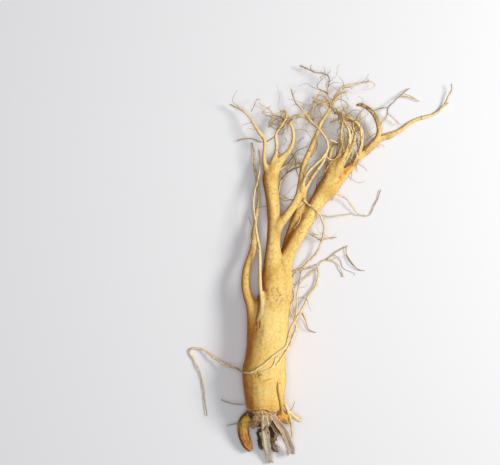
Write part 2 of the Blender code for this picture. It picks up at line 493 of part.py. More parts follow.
def build_root():
    body, *others = neck_pieces()
    for name in LEGS:
        if name not in NECK_LEGS:
            others.append(lofted_root(name, LEGS[name], LEG_MESH))
    for name, route in BRANCHES.items():
        others.append(lofted_root(name, route, BRANCH_MESH, swell=0.0))
    for name, route in FIBRES.items():
        others.append(lofted_root(name, route, FIBRE_MESH, swell=0.0))
    root = boolean(body, others, "UNION")
    root.name = "root"
    return root


def strap(name, route):
    """A split stem stub: a shallow trough of even wall, hollow side up, along its route."""
    rows, _ = smooth_route(route, STEM_SPACING)
    across, up = frames_along(rows[:, :3])
    angles = np.linspace(math.radians(STEM_ARC[0]), math.radians(STEM_ARC[1]), STEM_SIDES)
    both = np.concatenate([angles, angles[::-1]])
    points = []
    for row, right, over in zip(rows, across, up):
        inner = np.full(STEM_SIDES, row[3] - STEM_WALL)
        radii = np.concatenate([np.full(STEM_SIDES, row[3]), inner])
        points.append(ring_points(row[:3], right, over, radii, both))
    points = np.vstack(points)
    points[:, 2] = np.maximum(points[:, 2], LOWEST)
    return solid(name, points, bridged(len(rows), 2 * STEM_SIDES))


def build_stem(name, splinters):
    stem = strap(name, STEMS[name])
    if splinters:
        pieces = [lofted_root(key, SPLINTERS[key], FIBRE_MESH, swell=0.0) for key in splinters]
        stem = boolean(stem, pieces, "UNION")
    return boolean(stem, neck_pieces(grow=SEAT_GAP), "DIFFERENCE")


def main():
    clear_scene()
    skin = material(*SKIN)
    fibre = material(*DRY_STEM)
    root = build_root()
    middle = build_stem("dry_stem_middle", ("left_splinter", "right_splinter"))
    right = build_stem("dry_stem_right", ())
    for piece, finish in ((root, skin), (middle, fibre), (right, fibre)):
        piece.data.materials.clear()
        piece.data.materials.append(finish)
        piece.data.shade_smooth()
        piece.data.set_sharp_from_angle(angle=math.radians(SHARP_ANGLE))
        print(piece.name, len(piece.data.polygons), "faces")


main()
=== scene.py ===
# %% [markdown]
# # A fresh ginseng root on a pale table
#
# This lesson dresses a plain solid model of a ginseng root. The solid gives the root's place, size and
# pose. Everything that the eye sees is made here: the smooth skin, its wrinkles and specks, the knobbly
# neck with its dry stem stubs, and the rootlets down to the finest hairs. All the shapes are worked out in
# millimetres, because a root is easiest to think of that way, and each piece is scaled to metres as it is
# made.

# %% Load the solid model
import itertools
import json
import math
import random

import bpy
import numpy as np
from mathutils import Matrix, Vector, kdtree, noise
from mathutils.bvhtree import BVHTree

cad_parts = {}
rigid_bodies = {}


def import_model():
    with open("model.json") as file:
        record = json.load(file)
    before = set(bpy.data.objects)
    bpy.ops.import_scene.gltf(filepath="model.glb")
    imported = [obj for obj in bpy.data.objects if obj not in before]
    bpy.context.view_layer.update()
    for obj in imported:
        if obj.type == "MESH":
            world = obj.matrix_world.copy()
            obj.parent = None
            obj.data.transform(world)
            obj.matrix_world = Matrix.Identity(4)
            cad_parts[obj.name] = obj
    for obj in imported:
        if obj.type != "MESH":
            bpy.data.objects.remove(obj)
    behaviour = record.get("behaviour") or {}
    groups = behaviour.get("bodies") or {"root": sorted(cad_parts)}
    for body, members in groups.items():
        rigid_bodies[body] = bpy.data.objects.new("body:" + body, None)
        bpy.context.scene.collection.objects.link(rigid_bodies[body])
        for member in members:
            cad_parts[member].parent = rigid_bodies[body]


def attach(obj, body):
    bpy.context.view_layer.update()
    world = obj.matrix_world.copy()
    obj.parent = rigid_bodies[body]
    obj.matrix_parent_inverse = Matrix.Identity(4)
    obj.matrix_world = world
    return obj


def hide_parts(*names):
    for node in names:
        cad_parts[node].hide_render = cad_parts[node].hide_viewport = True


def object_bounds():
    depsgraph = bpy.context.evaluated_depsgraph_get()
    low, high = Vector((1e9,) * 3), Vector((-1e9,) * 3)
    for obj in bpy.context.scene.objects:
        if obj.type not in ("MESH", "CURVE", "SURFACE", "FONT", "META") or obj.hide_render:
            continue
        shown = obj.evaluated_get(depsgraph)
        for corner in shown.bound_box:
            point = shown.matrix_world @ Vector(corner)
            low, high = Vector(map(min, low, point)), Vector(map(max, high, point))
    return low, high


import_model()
cad_box = [list(corner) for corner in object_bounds()]
MM = 0.001
LOW_CORNER = np.array(cad_box[0]) / MM
HIGH_CORNER = np.array(cad_box[1]) / MM
scene = bpy.context.scene
print("solid model, mm:", np.round(LOW_CORNER, 1), np.round(HIGH_CORNER, 1))

# %% [markdown]
# ## The camera
#
# The root is seen from straight above, with its tips away from the viewer. A camera high up with a long
# lens keeps the far and near parts at nearly one scale. The lens is worked out from three lengths: how high
# the camera hangs, how wide the picture is at the height of the root's middle, and how wide the sensor is.

# %% Place the camera
PICTURE_WIDTH = 350.0
PICTURE_MIDDLE = (-12.6, 68.3)
ROOT_MIDDLE_HEIGHT = 12.0
CAMERA_HEIGHT = 1150.0
SENSOR_WIDTH = 36.0

camera_data = bpy.data.cameras.new("overhead_camera")
camera_data.sensor_width = SENSOR_WIDTH
camera_data.lens = SENSOR_WIDTH * CAMERA_HEIGHT / PICTURE_WIDTH
camera_data.clip_end = 10.0
camera = bpy.data.objects.new("overhead_camera", camera_data)
camera.location = (
    PICTURE_MIDDLE[0] * MM,
    PICTURE_MIDDLE[1] * MM,
    (CAMERA_HEIGHT + ROOT_MIDDLE_HEIGHT) * MM,
)
scene.collection.objects.link(camera)
scene.camera = camera
print("lens", round(camera_data.lens, 1), "mm")

# %% [markdown]
# ## The routes of the roots
#
# Each root is drawn as a list of points with a radius, like the stations along a ship's hull: x, y and z in
# millimetres, then the radius. A smooth curve through a few well-chosen points looks more like a root than
# many points do, because roots grow in long easy bends. Sculpting by hand would also work, but a table of
# points can be measured and put right. The solid model was drawn from nearly the same routes. The finest
# strands are here only, and a few thin roots start or end a little differently, so that they lie well on
# the dressed skin.

# %% Routes of the body and the neck
BODY_RADIUS = 14.2
NECK_RADIUS = 8.2
# Every route is a list of (x, y, z, radius) in millimetres, from where it grows to its tip.
# The body's radii are shares of BODY_RADIUS, and its last point lies in the crotch of the legs.
BODY = [
    (-3.4, -56.6, 13.4, 0.68), (-3.1, -53.2, 13.7, 0.84), (-2.5, -49.0, 14.2, 0.92),
    (-2.7, -42.0, 14.7, 1.0), (-2.5, -35.0, 15.2, 1.05), (-2.8, -28.0, 15.0, 1.04),
    (-2.1, -21.0, 13.9, 1.0), (-1.5, -14.0, 13.1, 0.98), (-0.4, -7.0, 12.9, 1.0), (0.4, 0.0, 12.9, 0.99),
    (1.2, 7.0, 12.7, 0.95), (2.1, 14.0, 13.2, 0.88), (3.4, 21.0, 13.6, 0.78), (4.5, 28.0, 13.7, 0.68),
    (5.8, 35.0, 13.2, 0.6), (6.8, 42.0, 12.6, 0.48),
]
NECK = [
    (-3.2, -52.0, 13.6, 1.18), (-2.6, -56.0, 13.4, 1.05), (-1.8, -60.0, 12.8, 0.94),
    (-1.0, -64.0, 12.2, 0.78), (-0.2, -67.6, 11.8, 0.5),
]
# The knuckles of old stem scars on the neck: centre and radius.
KNUCKLES = [
    (-8.6, -58.2, 14.6, 3.6), (-4.6, -60.4, 17.0, 3.4), (2.0, -58.8, 17.2, 3.6), (5.4, -61.6, 14.2, 3.6),
    (-6.4, -64.6, 12.6, 3.0), (2.8, -66.0, 12.0, 3.0), (-2.6, -61.8, 6.6, 3.4), (4.4, -58.4, 8.0, 3.6),
    (-12.0, -57.6, 13.0, 3.0),
]
print("the body is", 2 * BODY_RADIUS, "mm thick, and the neck has", len(KNUCKLES), "knuckles")

# %% Routes of the legs
LEGS = {
    "centre_leg": [
        (2.5, 17.5, 14.5, 7.0), (2.8, 28.0, 14.8, 6.7), (2.7, 36.4, 14.4, 6.4), (2.8, 45.5, 13.8, 6.0),
        (3.5, 54.6, 13.2, 5.4), (3.9, 64.4, 12.5, 4.9), (4.2, 73.5, 11.8, 4.7), (3.9, 82.6, 11.2, 4.7),
        (3.2, 91.0, 10.6, 5.0), (2.1, 99.4, 10.0, 5.2), (1.1, 106.4, 9.6, 4.9), (0.6, 110.6, 9.7, 3.7),
        (0.2, 113.8, 9.9, 2.2),
    ],
    "right_leg": [
        (8.2, 22.4, 13.6, 7.5), (10.4, 32.2, 13.6, 6.2), (11.8, 40.6, 13.2, 4.9), (13.3, 49.0, 12.8, 4.3),
        (15.8, 56.0, 12.3, 4.5), (19.5, 63.0, 11.8, 4.7), (23.5, 70.0, 11.3, 4.6), (27.7, 77.0, 10.7, 4.9),
        (31.4, 84.0, 9.6, 5.3), (35.4, 91.0, 8.4, 5.6), (40.2, 97.4, 7.2, 6.1), (45.6, 102.6, 6.2, 5.8),
        (51.4, 107.6, 5.2, 4.4), (56.8, 112.6, 4.6, 3.1), (61.4, 118.0, 4.2, 2.6), (66.2, 122.6, 4.0, 2.4),
        (70.7, 127.0, 3.9, 2.4), (75.6, 131.6, 3.5, 2.4), (80.5, 134.9, 3.0, 2.1), (86.8, 136.9, 2.5, 1.85),
    ],
    "right_leg_head": [
        (41.0, 98.0, 7.6, 5.6), (43.6, 105.2, 8.4, 5.3), (45.6, 111.6, 9.4, 4.4), (48.0, 117.4, 10.2, 3.4),
        (50.2, 122.6, 11.2, 2.2), (51.6, 127.6, 12.0, 1.6),
    ],
    "middle_leg": [
        (4.6, 62.0, 12.6, 2.6), (6.4, 69.6, 13.4, 2.9), (9.0, 74.8, 14.3, 3.0), (12.2, 79.0, 14.8, 2.95),
        (15.6, 83.6, 14.6, 2.85), (18.9, 88.6, 14.2, 2.7), (21.4, 94.5, 13.8, 2.45),
        (22.6, 101.5, 13.4, 2.3), (23.7, 108.5, 13.0, 2.25), (25.2, 115.5, 12.5, 2.2),
        (27.7, 121.8, 12.0, 2.1), (30.1, 127.4, 11.6, 1.95), (32.6, 132.7, 11.2, 1.7),
    ],
    "hind_leg": [
        (8.4, 31.5, 11.4, 4.2), (10.8, 43.4, 9.6, 3.8), (12.6, 54.6, 8.2, 3.4), (15.0, 64.4, 7.4, 3.3),
        (17.9, 72.8, 7.6, 3.3), (20.7, 80.5, 8.8, 3.1), (23.1, 86.8, 11.0, 2.8), (24.6, 91.8, 13.2, 2.3),
        (24.6, 95.0, 13.4, 1.6),
    ],
    "left_leg": [
        (-8.6, -5.6, 15.6, 4.2), (-10.3, 2.8, 16.4, 4.1), (-11.0, 10.5, 16.8, 3.8), (-11.7, 16.8, 16.8, 3.6),
        (-13.6, 22.4, 16.2, 3.35), (-15.2, 28.0, 15.4, 3.2), (-15.7, 34.3, 14.4, 3.15),
        (-15.1, 41.3, 13.4, 3.0), (-13.3, 48.0, 12.4, 2.8), (-11.2, 54.3, 11.4, 2.6),
        (-9.9, 60.9, 10.4, 2.25), (-9.5, 67.9, 9.4, 1.8),
    ],
}
print("legs:", len(LEGS))

# %% Routes of the side root, the nub and the bud, which grow from the neck
LEGS |= {
    "side_root": [
        (-8.6, -58.8, 12.2, 3.2), (-12.4, -60.2, 11.4, 3.5), (-15.6, -62.6, 10.0, 3.8),
        (-17.4, -66.6, 8.0, 4.0), (-17.6, -71.2, 6.2, 4.0), (-16.6, -75.8, 4.9, 3.9),
        (-15.0, -80.4, 3.9, 3.5), (-13.2, -84.2, 3.2, 2.5),
    ],
    "nub": [
        (-6.6, -60.0, 10.4, 2.6), (-8.4, -63.0, 9.4, 2.5), (-9.5, -66.5, 8.6, 2.2), (-10.9, -68.6, 8.0, 1.5),
    ],
    "bud": [
        (4.8, -57.0, 12.4, 4.8), (8.7, -59.0, 12.8, 4.3), (11.7, -61.5, 12.8, 3.5), (13.9, -64.3, 12.4, 1.9),
    ],
}
print("legs and what grows from the neck:", len(LEGS))

# %% Routes of the branch roots that carry the legs on to their tips
BRANCHES = {
    "left_leg_end": [
        (-9.6, 65.6, 9.7, 1.9), (-8.8, 75.6, 8.2, 1.45), (-7.4, 83.3, 7.0, 1.25), (-6.3, 91.7, 5.8, 1.1),
        (-6.7, 100.1, 4.6, 1.0), (-8.4, 107.8, 3.4, 0.9), (-9.8, 116.2, 2.4, 0.8), (-9.5, 124.6, 1.6, 0.7),
        (-11.2, 131.6, 0.8, 0.6),
    ],
    "front_root": [
        (-7.4, 2.6, 20.6, 1.26), (-6.2, 7.0, 22.8, 1.4), (-4.4, 13.0, 23.8, 1.6), (-4.3, 21.0, 23.2, 1.6),
        (-5.2, 28.0, 22.2, 1.5), (-5.6, 35.0, 21.2, 1.4), (-5.8, 42.0, 20.4, 1.3), (-5.7, 49.0, 19.6, 1.25),
        (-6.1, 56.7, 18.4, 1.15), (-7.1, 63.7, 17.0, 1.1), (-8.3, 71.4, 15.6, 1.0), (-9.4, 79.8, 14.2, 0.95),
        (-10.1, 88.2, 12.8, 0.9), (-9.5, 95.9, 11.4, 0.85), (-7.7, 102.9, 10.6, 0.8),
        (-6.0, 110.6, 10.0, 0.75), (-5.6, 119.0, 9.6, 0.7), (-6.4, 126.0, 9.0, 0.6),
    ],
    "right_leg_tail": [
        (84.6, 136.3, 2.6, 1.95), (93.1, 140.0, 2.1, 1.6), (100.1, 145.3, 1.7, 1.4),
        (107.1, 148.8, 1.4, 1.3), (114.1, 150.5, 1.3, 1.2), (119.0, 153.0, 1.3, 1.0),
        (122.5, 156.1, 1.8, 0.8), (125.3, 159.6, 2.6, 0.7), (127.4, 164.5, 3.6, 0.6),
        (129.5, 169.4, 4.6, 0.55), (129.2, 172.6, 5.2, 0.5),
    ],
    "right_leg_tail_fork": [(119.0, 153.0, 1.3, 0.8), (123.6, 156.2, 1.2, 0.65), (127.4, 159.6, 1.0, 0.5)],
    "curled_root": [
        (69.6, 126.0, 4.2, 2.3), (75.2, 131.9, 5.4, 2.1), (77.8, 137.2, 7.0, 1.95), (78.0, 142.1, 8.5, 1.9),
        (76.2, 147.7, 10.0, 1.75), (73.2, 152.3, 11.0, 1.65), (69.3, 155.8, 11.5, 1.5),
        (65.5, 157.7, 11.2, 1.35), (62.4, 157.7, 10.6, 0.9),
    ],
    "middle_leg_end": [
        (31.8, 131.0, 11.3, 1.75), (34.7, 138.6, 10.8, 1.5), (37.1, 144.9, 10.3, 1.4),
        (40.6, 150.5, 9.8, 1.35), (44.1, 155.8, 9.2, 1.3), (46.6, 161.4, 8.6, 1.1), (49.0, 166.6, 8.0, 1.0),
        (52.5, 170.1, 7.2, 0.9), (57.4, 171.9, 6.2, 0.75), (63.0, 172.6, 5.0, 0.65),
        (67.2, 174.0, 3.8, 0.55), (71.4, 175.0, 2.6, 0.5),
    ],
}
print("branch roots that carry the legs on:", len(BRANCHES))

# %% Routes of the branch roots from the centre leg's head and the knot beside it
BRANCHES |= {
    "head_left": [
        (0.4, 107.6, 10.2, 2.2), (-2.1, 115.5, 11.5, 1.7), (-2.8, 122.5, 12.3, 1.5),
        (-2.1, 128.8, 12.6, 1.4), (-2.8, 133.7, 12.4, 1.3), (-6.0, 138.3, 11.8, 1.25),
        (-9.5, 143.5, 11.0, 1.15), (-12.6, 148.8, 10.0, 1.05), (-16.8, 153.0, 8.8, 0.9),
        (-21.7, 156.1, 7.4, 0.7), (-26.6, 158.2, 6.0, 0.55),
    ],
    "head_middle": [
        (2.0, 108.6, 10.0, 2.2), (3.3, 117.6, 10.8, 1.8), (5.6, 123.9, 11.8, 1.5), (6.0, 130.5, 12.8, 1.3),
        (5.3, 135.8, 13.6, 1.2), (7.7, 140.7, 14.2, 1.1), (10.9, 145.3, 14.2, 1.0), (13.0, 149.5, 13.6, 0.9),
        (11.6, 153.2, 12.6, 0.75), (8.6, 152.6, 11.6, 0.6),
    ],
    "head_right": [
        (2.0, 105.6, 9.4, 4.7), (5.0, 113.2, 9.3, 3.8), (9.0, 119.2, 9.0, 2.9), (13.4, 123.8, 8.6, 2.1),
        (16.8, 129.2, 8.0, 1.6), (17.9, 135.1, 7.6, 1.35), (17.5, 140.7, 7.4, 1.2), (15.1, 145.6, 7.4, 1.1),
        (10.5, 148.4, 7.2, 1.05), (5.6, 148.9, 6.6, 0.95), (2.3, 146.7, 5.6, 0.8), (0.9, 142.6, 4.4, 0.6),
    ],
    "head_bridge": [
        (15.2, 145.4, 7.6, 0.9), (18.9, 149.6, 9.5, 1.1), (23.1, 150.0, 11.4, 1.1), (26.8, 148.2, 13.0, 1.1),
        (30.6, 145.2, 14.4, 1.0),
    ],
    "head_back": [
        (3.6, 108.6, 7.6, 1.1), (9.1, 113.0, 4.6, 1.05), (14.0, 115.9, 4.2, 1.1), (19.6, 116.9, 6.4, 1.1),
        (25.0, 116.4, 11.4, 1.0),
    ],
    "knot_loop": [
        (24.7, 92.6, 13.2, 1.7), (24.2, 97.6, 14.2, 1.5), (24.9, 103.6, 16.0, 1.25),
        (27.7, 109.9, 17.4, 1.2), (31.9, 114.8, 18.4, 1.15), (36.4, 118.7, 19.0, 1.15),
        (39.9, 123.2, 19.2, 1.15), (41.7, 128.1, 18.8, 1.1), (40.3, 133.7, 17.8, 1.1),
        (37.1, 138.6, 16.6, 1.05), (33.3, 142.8, 15.4, 1.0), (29.4, 147.0, 14.0, 0.95),
        (26.3, 151.2, 12.5, 0.8), (22.4, 155.8, 11.0, 0.65), (19.3, 159.6, 9.5, 0.55),
        (17.5, 164.5, 8.4, 0.5), (16.1, 169.0, 7.8, 0.45),
    ],
    "knot_strand": [
        (24.9, 93.4, 13.0, 1.5), (26.7, 99.0, 13.0, 1.35), (30.3, 106.0, 13.6, 1.3),
        (34.4, 112.0, 15.0, 1.3), (38.0, 117.0, 17.0, 1.2), (40.4, 123.0, 18.8, 1.1),
    ],
}
print("branch roots with those of the head and the knot:", len(BRANCHES))

# %% Routes of the branch roots in the right leg's tangle
BRANCHES |= {
    "tangle_left": [
        (50.2, 122.6, 11.2, 1.8), (51.8, 128.1, 12.0, 1.5), (52.2, 135.1, 12.6, 1.35),
        (51.8, 142.1, 12.8, 1.2), (51.1, 148.1, 12.4, 1.05), (48.3, 152.3, 11.6, 0.95),
        (44.8, 155.8, 10.2, 0.9), (40.6, 158.2, 9.6, 0.8), (36.4, 159.3, 9.0, 0.75), (32.9, 158.2, 8.0, 0.7),
        (30.1, 154.4, 7.0, 0.6), (27.6, 150.4, 6.4, 0.5),
    ],
    "tangle_middle": [
        (45.0, 105.6, 9.6, 2.4), (50.0, 114.8, 12.5, 2.0), (53.2, 121.5, 14.2, 1.6),
        (55.7, 127.8, 15.4, 1.4), (57.0, 133.7, 16.2, 1.25), (56.4, 139.3, 16.6, 1.15),
        (53.9, 144.2, 16.4, 1.05), (52.2, 149.1, 15.6, 0.95), (52.5, 152.8, 14.4, 0.75),
        (55.0, 155.8, 13.0, 0.55),
    ],
    "tangle_right": [
        (47.6, 107.0, 7.6, 2.6), (52.4, 116.4, 9.0, 1.9), (56.4, 123.4, 10.0, 1.6), (59.4, 129.9, 11.0, 1.4),
        (61.3, 136.2, 11.4, 1.3), (62.0, 141.8, 11.2, 1.1), (60.3, 145.6, 10.6, 0.95),
        (57.0, 147.6, 9.8, 0.85), (53.2, 149.2, 9.0, 0.75), (49.0, 151.6, 8.0, 0.6),
    ],
    "tangle_arch": [
        (60.4, 117.2, 4.8, 2.0), (64.2, 124.2, 7.6, 1.6), (65.6, 130.2, 10.2, 1.4), (65.8, 135.8, 12.0, 1.3),
        (64.6, 141.1, 13.2, 1.2), (61.6, 145.6, 13.8, 1.1), (57.4, 148.2, 13.8, 1.0),
        (51.6, 150.4, 13.0, 0.9), (45.6, 154.6, 10.4, 0.8),
    ],
    "tangle_fork": [
        (41.4, 106.4, 8.6, 2.0), (42.6, 115.5, 8.8, 1.8), (43.4, 120.4, 8.8, 1.6), (44.5, 126.0, 8.8, 1.4),
        (47.3, 130.4, 9.2, 1.2), (51.3, 132.9, 10.4, 1.0), (55.3, 134.6, 11.8, 0.9),
        (58.4, 138.0, 12.6, 0.8),
    ],
}
print("all branch roots:", len(BRANCHES))

# %% Routes of the rootlets near the tips
FIBRES = {
    "head_arch": [
        (4.6, 92.6, 8.6, 0.7), (7.7, 97.0, 7.4, 0.65), (9.1, 103.6, 6.0, 0.6), (13.3, 109.9, 5.0, 0.6),
        (18.2, 112.9, 5.4, 0.6), (22.6, 115.0, 8.6, 0.6),
    ],
    "tangle_bridge": [(52.2, 149.6, 12.4, 0.8), (48.3, 147.4, 12.0, 0.7), (44.1, 145.6, 11.4, 0.5)],
    "curl_rootlet": [
        (77.0, 141.6, 8.6, 0.8), (80.9, 146.3, 7.5, 0.65), (83.7, 151.2, 6.5, 0.6), (84.7, 156.5, 5.6, 0.6),
        (88.9, 160.3, 4.6, 0.55), (93.1, 164.9, 3.6, 0.5), (96.6, 168.0, 2.6, 0.5),
        (100.1, 169.8, 1.8, 0.45),
    ],
    "far_rootlet": [
        (44.0, 156.6, 9.0, 0.8), (42.7, 163.8, 9.5, 0.65), (42.0, 169.4, 9.5, 0.6), (43.1, 175.0, 9.0, 0.6),
        (41.7, 178.9, 8.4, 0.6), (37.1, 180.3, 7.6, 0.55), (31.5, 181.7, 6.6, 0.5), (26.6, 183.8, 5.4, 0.5),
        (22.4, 186.0, 4.2, 0.45),
    ],
    "far_loop": [
        (44.2, 157.2, 8.4, 0.6), (40.6, 162.8, 7.0, 0.55), (37.1, 164.9, 6.2, 0.5), (34.0, 163.1, 5.6, 0.5),
        (31.9, 160.3, 5.0, 0.45),
    ],
    "far_fork": [
        (45.0, 157.0, 8.8, 0.7), (47.6, 162.4, 9.6, 0.6), (50.4, 164.5, 10.4, 0.5),
        (54.6, 166.6, 11.0, 0.45),
    ],
    "knot_rootlet": [
        (24.5, 91.7, 13.4, 1.2), (27.7, 88.2, 15.6, 0.95), (31.5, 85.8, 16.6, 0.9), (35.4, 81.9, 15.4, 0.9),
        (37.8, 77.4, 12.5, 0.9), (39.2, 71.4, 9.5, 0.85), (38.5, 64.4, 7.0, 0.85), (36.1, 57.8, 5.2, 0.85),
        (32.2, 51.8, 4.0, 0.85), (28.0, 46.9, 3.2, 0.85), (23.8, 42.7, 2.8, 0.9), (19.6, 39.9, 3.4, 0.85),
        (16.8, 35.4, 4.6, 0.8), (17.2, 30.1, 5.6, 0.8), (18.9, 25.2, 6.4, 0.8), (17.6, 20.3, 7.6, 0.8),
        (16.0, 16.8, 8.8, 0.8), (15.7, 13.6, 9.6, 0.8), (16.9, 10.0, 9.9, 0.8), (18.9, 6.3, 9.6, 0.8),
    ],
}
print("rootlets near the tips:", len(FIBRES))

# %% Routes of the rootlets over the body and to the right of it
FIBRES |= {
    "over_body_long": [
        (-14.0, -28.9, 24.6, 0.9), (-11.0, -28.2, 27.1, 1.0), (-8.0, -26.6, 28.6, 1.0),
        (-5.0, -24.4, 29.3, 1.0), (-1.4, -21.5, 28.9, 1.0), (2.8, -17.7, 27.4, 0.9), (7.0, -14.5, 24.6, 0.9),
        (10.9, -11.3, 20.8, 0.9), (13.5, -6.6, 17.4, 0.9), (14.6, -2.6, 14.8, 0.9), (16.2, 1.4, 12.2, 0.9),
        (18.9, 6.3, 9.6, 0.95), (22.6, 11.9, 6.4, 0.85), (25.6, 17.5, 4.4, 0.8), (28.0, 22.4, 3.4, 0.8),
        (31.5, 27.0, 2.6, 0.75), (34.3, 32.2, 2.2, 0.7), (35.7, 37.8, 2.2, 0.65), (34.7, 43.4, 2.8, 0.6),
    ],
    "over_body_middle": [
        (-6.2, -28.6, 29.4, 0.45), (-3.0, -27.4, 29.4, 0.6), (1.4, -25.6, 28.6, 0.65),
        (4.2, -21.9, 26.7, 0.65), (5.4, -18.4, 25.7, 0.6), (8.2, -15.1, 23.3, 0.6), (11.0, -12.4, 19.6, 0.5),
    ],
    "over_body_short": [
        (18.9, 6.3, 9.6, 0.9), (19.5, 1.4, 9.6, 0.85), (18.0, -3.5, 10.8, 0.85), (15.9, -8.3, 13.4, 0.8),
        (13.5, -12.9, 17.2, 0.8), (10.8, -16.8, 20.8, 0.75), (7.7, -20.7, 24.4, 0.75),
        (5.4, -23.3, 25.9, 0.6),
    ],
    "right_rootlet": [
        (18.9, 6.3, 9.6, 0.9), (20.2, 13.0, 6.8, 0.85), (20.2, 19.6, 5.0, 0.8), (20.7, 25.2, 4.0, 0.75),
        (22.1, 30.8, 3.3, 0.7), (25.2, 35.4, 2.8, 0.65), (29.8, 38.9, 2.4, 0.6), (34.3, 43.1, 2.2, 0.6),
        (38.2, 47.6, 2.0, 0.55), (42.7, 50.1, 1.8, 0.55), (47.6, 53.9, 1.6, 0.5), (51.8, 56.7, 1.6, 0.45),
        (56.0, 58.8, 2.0, 0.45),
    ],
    "right_rootlet_fork": [
        (41.4, 49.4, 1.9, 0.55), (46.9, 48.0, 1.6, 0.5), (50.1, 44.5, 1.4, 0.5), (52.2, 40.6, 1.2, 0.45),
        (53.2, 37.1, 1.0, 0.45),
    ],
    "crotch_rootlet": [
        (12.6, 38.2, 12.0, 0.9), (15.4, 39.4, 10.6, 0.85), (20.0, 41.7, 7.0, 0.8), (24.5, 42.6, 4.6, 0.75),
        (29.4, 43.4, 3.4, 0.7), (33.6, 45.5, 3.0, 0.6),
    ],
    "leg_rootlet": [
        (23.6, 69.2, 10.6, 0.8), (28.7, 68.3, 8.4, 0.65), (33.6, 65.8, 5.6, 0.6), (37.8, 63.4, 5.0, 0.55),
        (42.7, 64.4, 3.0, 0.5), (48.3, 64.8, 2.0, 0.45),
    ],
    "outer_rootlet": [
        (35.6, 88.6, 9.4, 0.8), (39.9, 90.6, 10.0, 0.65), (43.4, 94.5, 9.0, 0.6), (46.9, 95.9, 7.6, 0.6),
        (51.1, 93.8, 6.0, 0.55), (56.0, 91.0, 4.6, 0.55), (59.5, 85.8, 3.2, 0.5), (63.0, 81.9, 2.2, 0.5),
        (67.9, 80.2, 1.4, 0.5), (72.1, 80.9, 1.0, 0.45), (74.9, 86.8, 1.0, 0.45), (77.7, 92.4, 1.0, 0.45),
        (79.8, 98.4, 1.0, 0.4),
    ],
    "knot_fork": [
        (25.4, 88.6, 15.0, 0.8), (22.8, 84.0, 16.2, 0.65), (22.4, 78.6, 15.6, 0.6), (20.6, 73.6, 14.2, 0.6),
        (18.4, 70.4, 12.4, 0.6),
    ],
}
print("rootlets with those over the body:", len(FIBRES))

# %% Routes of the rootlets to the left and at the neck
FIBRES |= {
    "left_rootlet": [
        (-9.6, -27.6, 27.2, 0.7), (-11.8, -28.4, 26.5, 0.95), (-14.0, -28.9, 24.6, 1.0),
        (-18.4, -28.2, 18.5, 1.0), (-22.4, -26.6, 12.5, 1.0), (-28.7, -24.9, 8.5, 1.0),
        (-35.0, -22.0, 5.6, 0.95), (-40.6, -17.9, 3.6, 0.95), (-45.2, -14.4, 2.2, 0.9),
        (-50.4, -13.3, 1.6, 0.9), (-54.4, -13.9, 1.4, 0.85), (-55.2, -16.6, 1.3, 0.8),
        (-52.8, -21.0, 1.2, 0.8), (-49.4, -27.0, 1.1, 0.75), (-46.9, -33.6, 1.1, 0.7),
        (-45.5, -42.0, 1.1, 0.65), (-44.5, -51.1, 1.2, 0.6), (-42.7, -60.9, 1.3, 0.5),
    ],
    "neck_rootlet": [
        (-10.4, -51.6, 13.4, 0.7), (-14.7, -52.2, 12.0, 0.6), (-19.6, -52.2, 10.0, 0.55),
        (-24.5, -51.7, 8.0, 0.5), (-28.7, -50.8, 6.0, 0.45), (-32.9, -49.4, 4.5, 0.4),
    ],
    "side_rootlet": [
        (-17.0, -65.4, 7.4, 0.6), (-21.0, -65.8, 6.4, 0.5), (-24.5, -66.5, 5.2, 0.45),
        (-28.7, -67.9, 4.0, 0.4),
    ],
    "bud_rootlet": [
        (8.6, -44.6, 11.6, 1.1), (11.0, -50.0, 11.6, 1.3), (13.4, -55.6, 10.8, 1.3), (15.6, -62.0, 9.6, 1.0),
        (16.8, -68.6, 8.2, 0.8), (17.2, -75.6, 6.6, 0.6),
    ],
    "bud_rootlet_fork": [
        (13.4, -55.8, 10.8, 1.2), (17.0, -59.6, 9.4, 1.2), (20.2, -62.2, 8.2, 1.5), (22.6, -63.8, 7.2, 1.4),
    ],
}
print("all rootlets:", len(FIBRES))

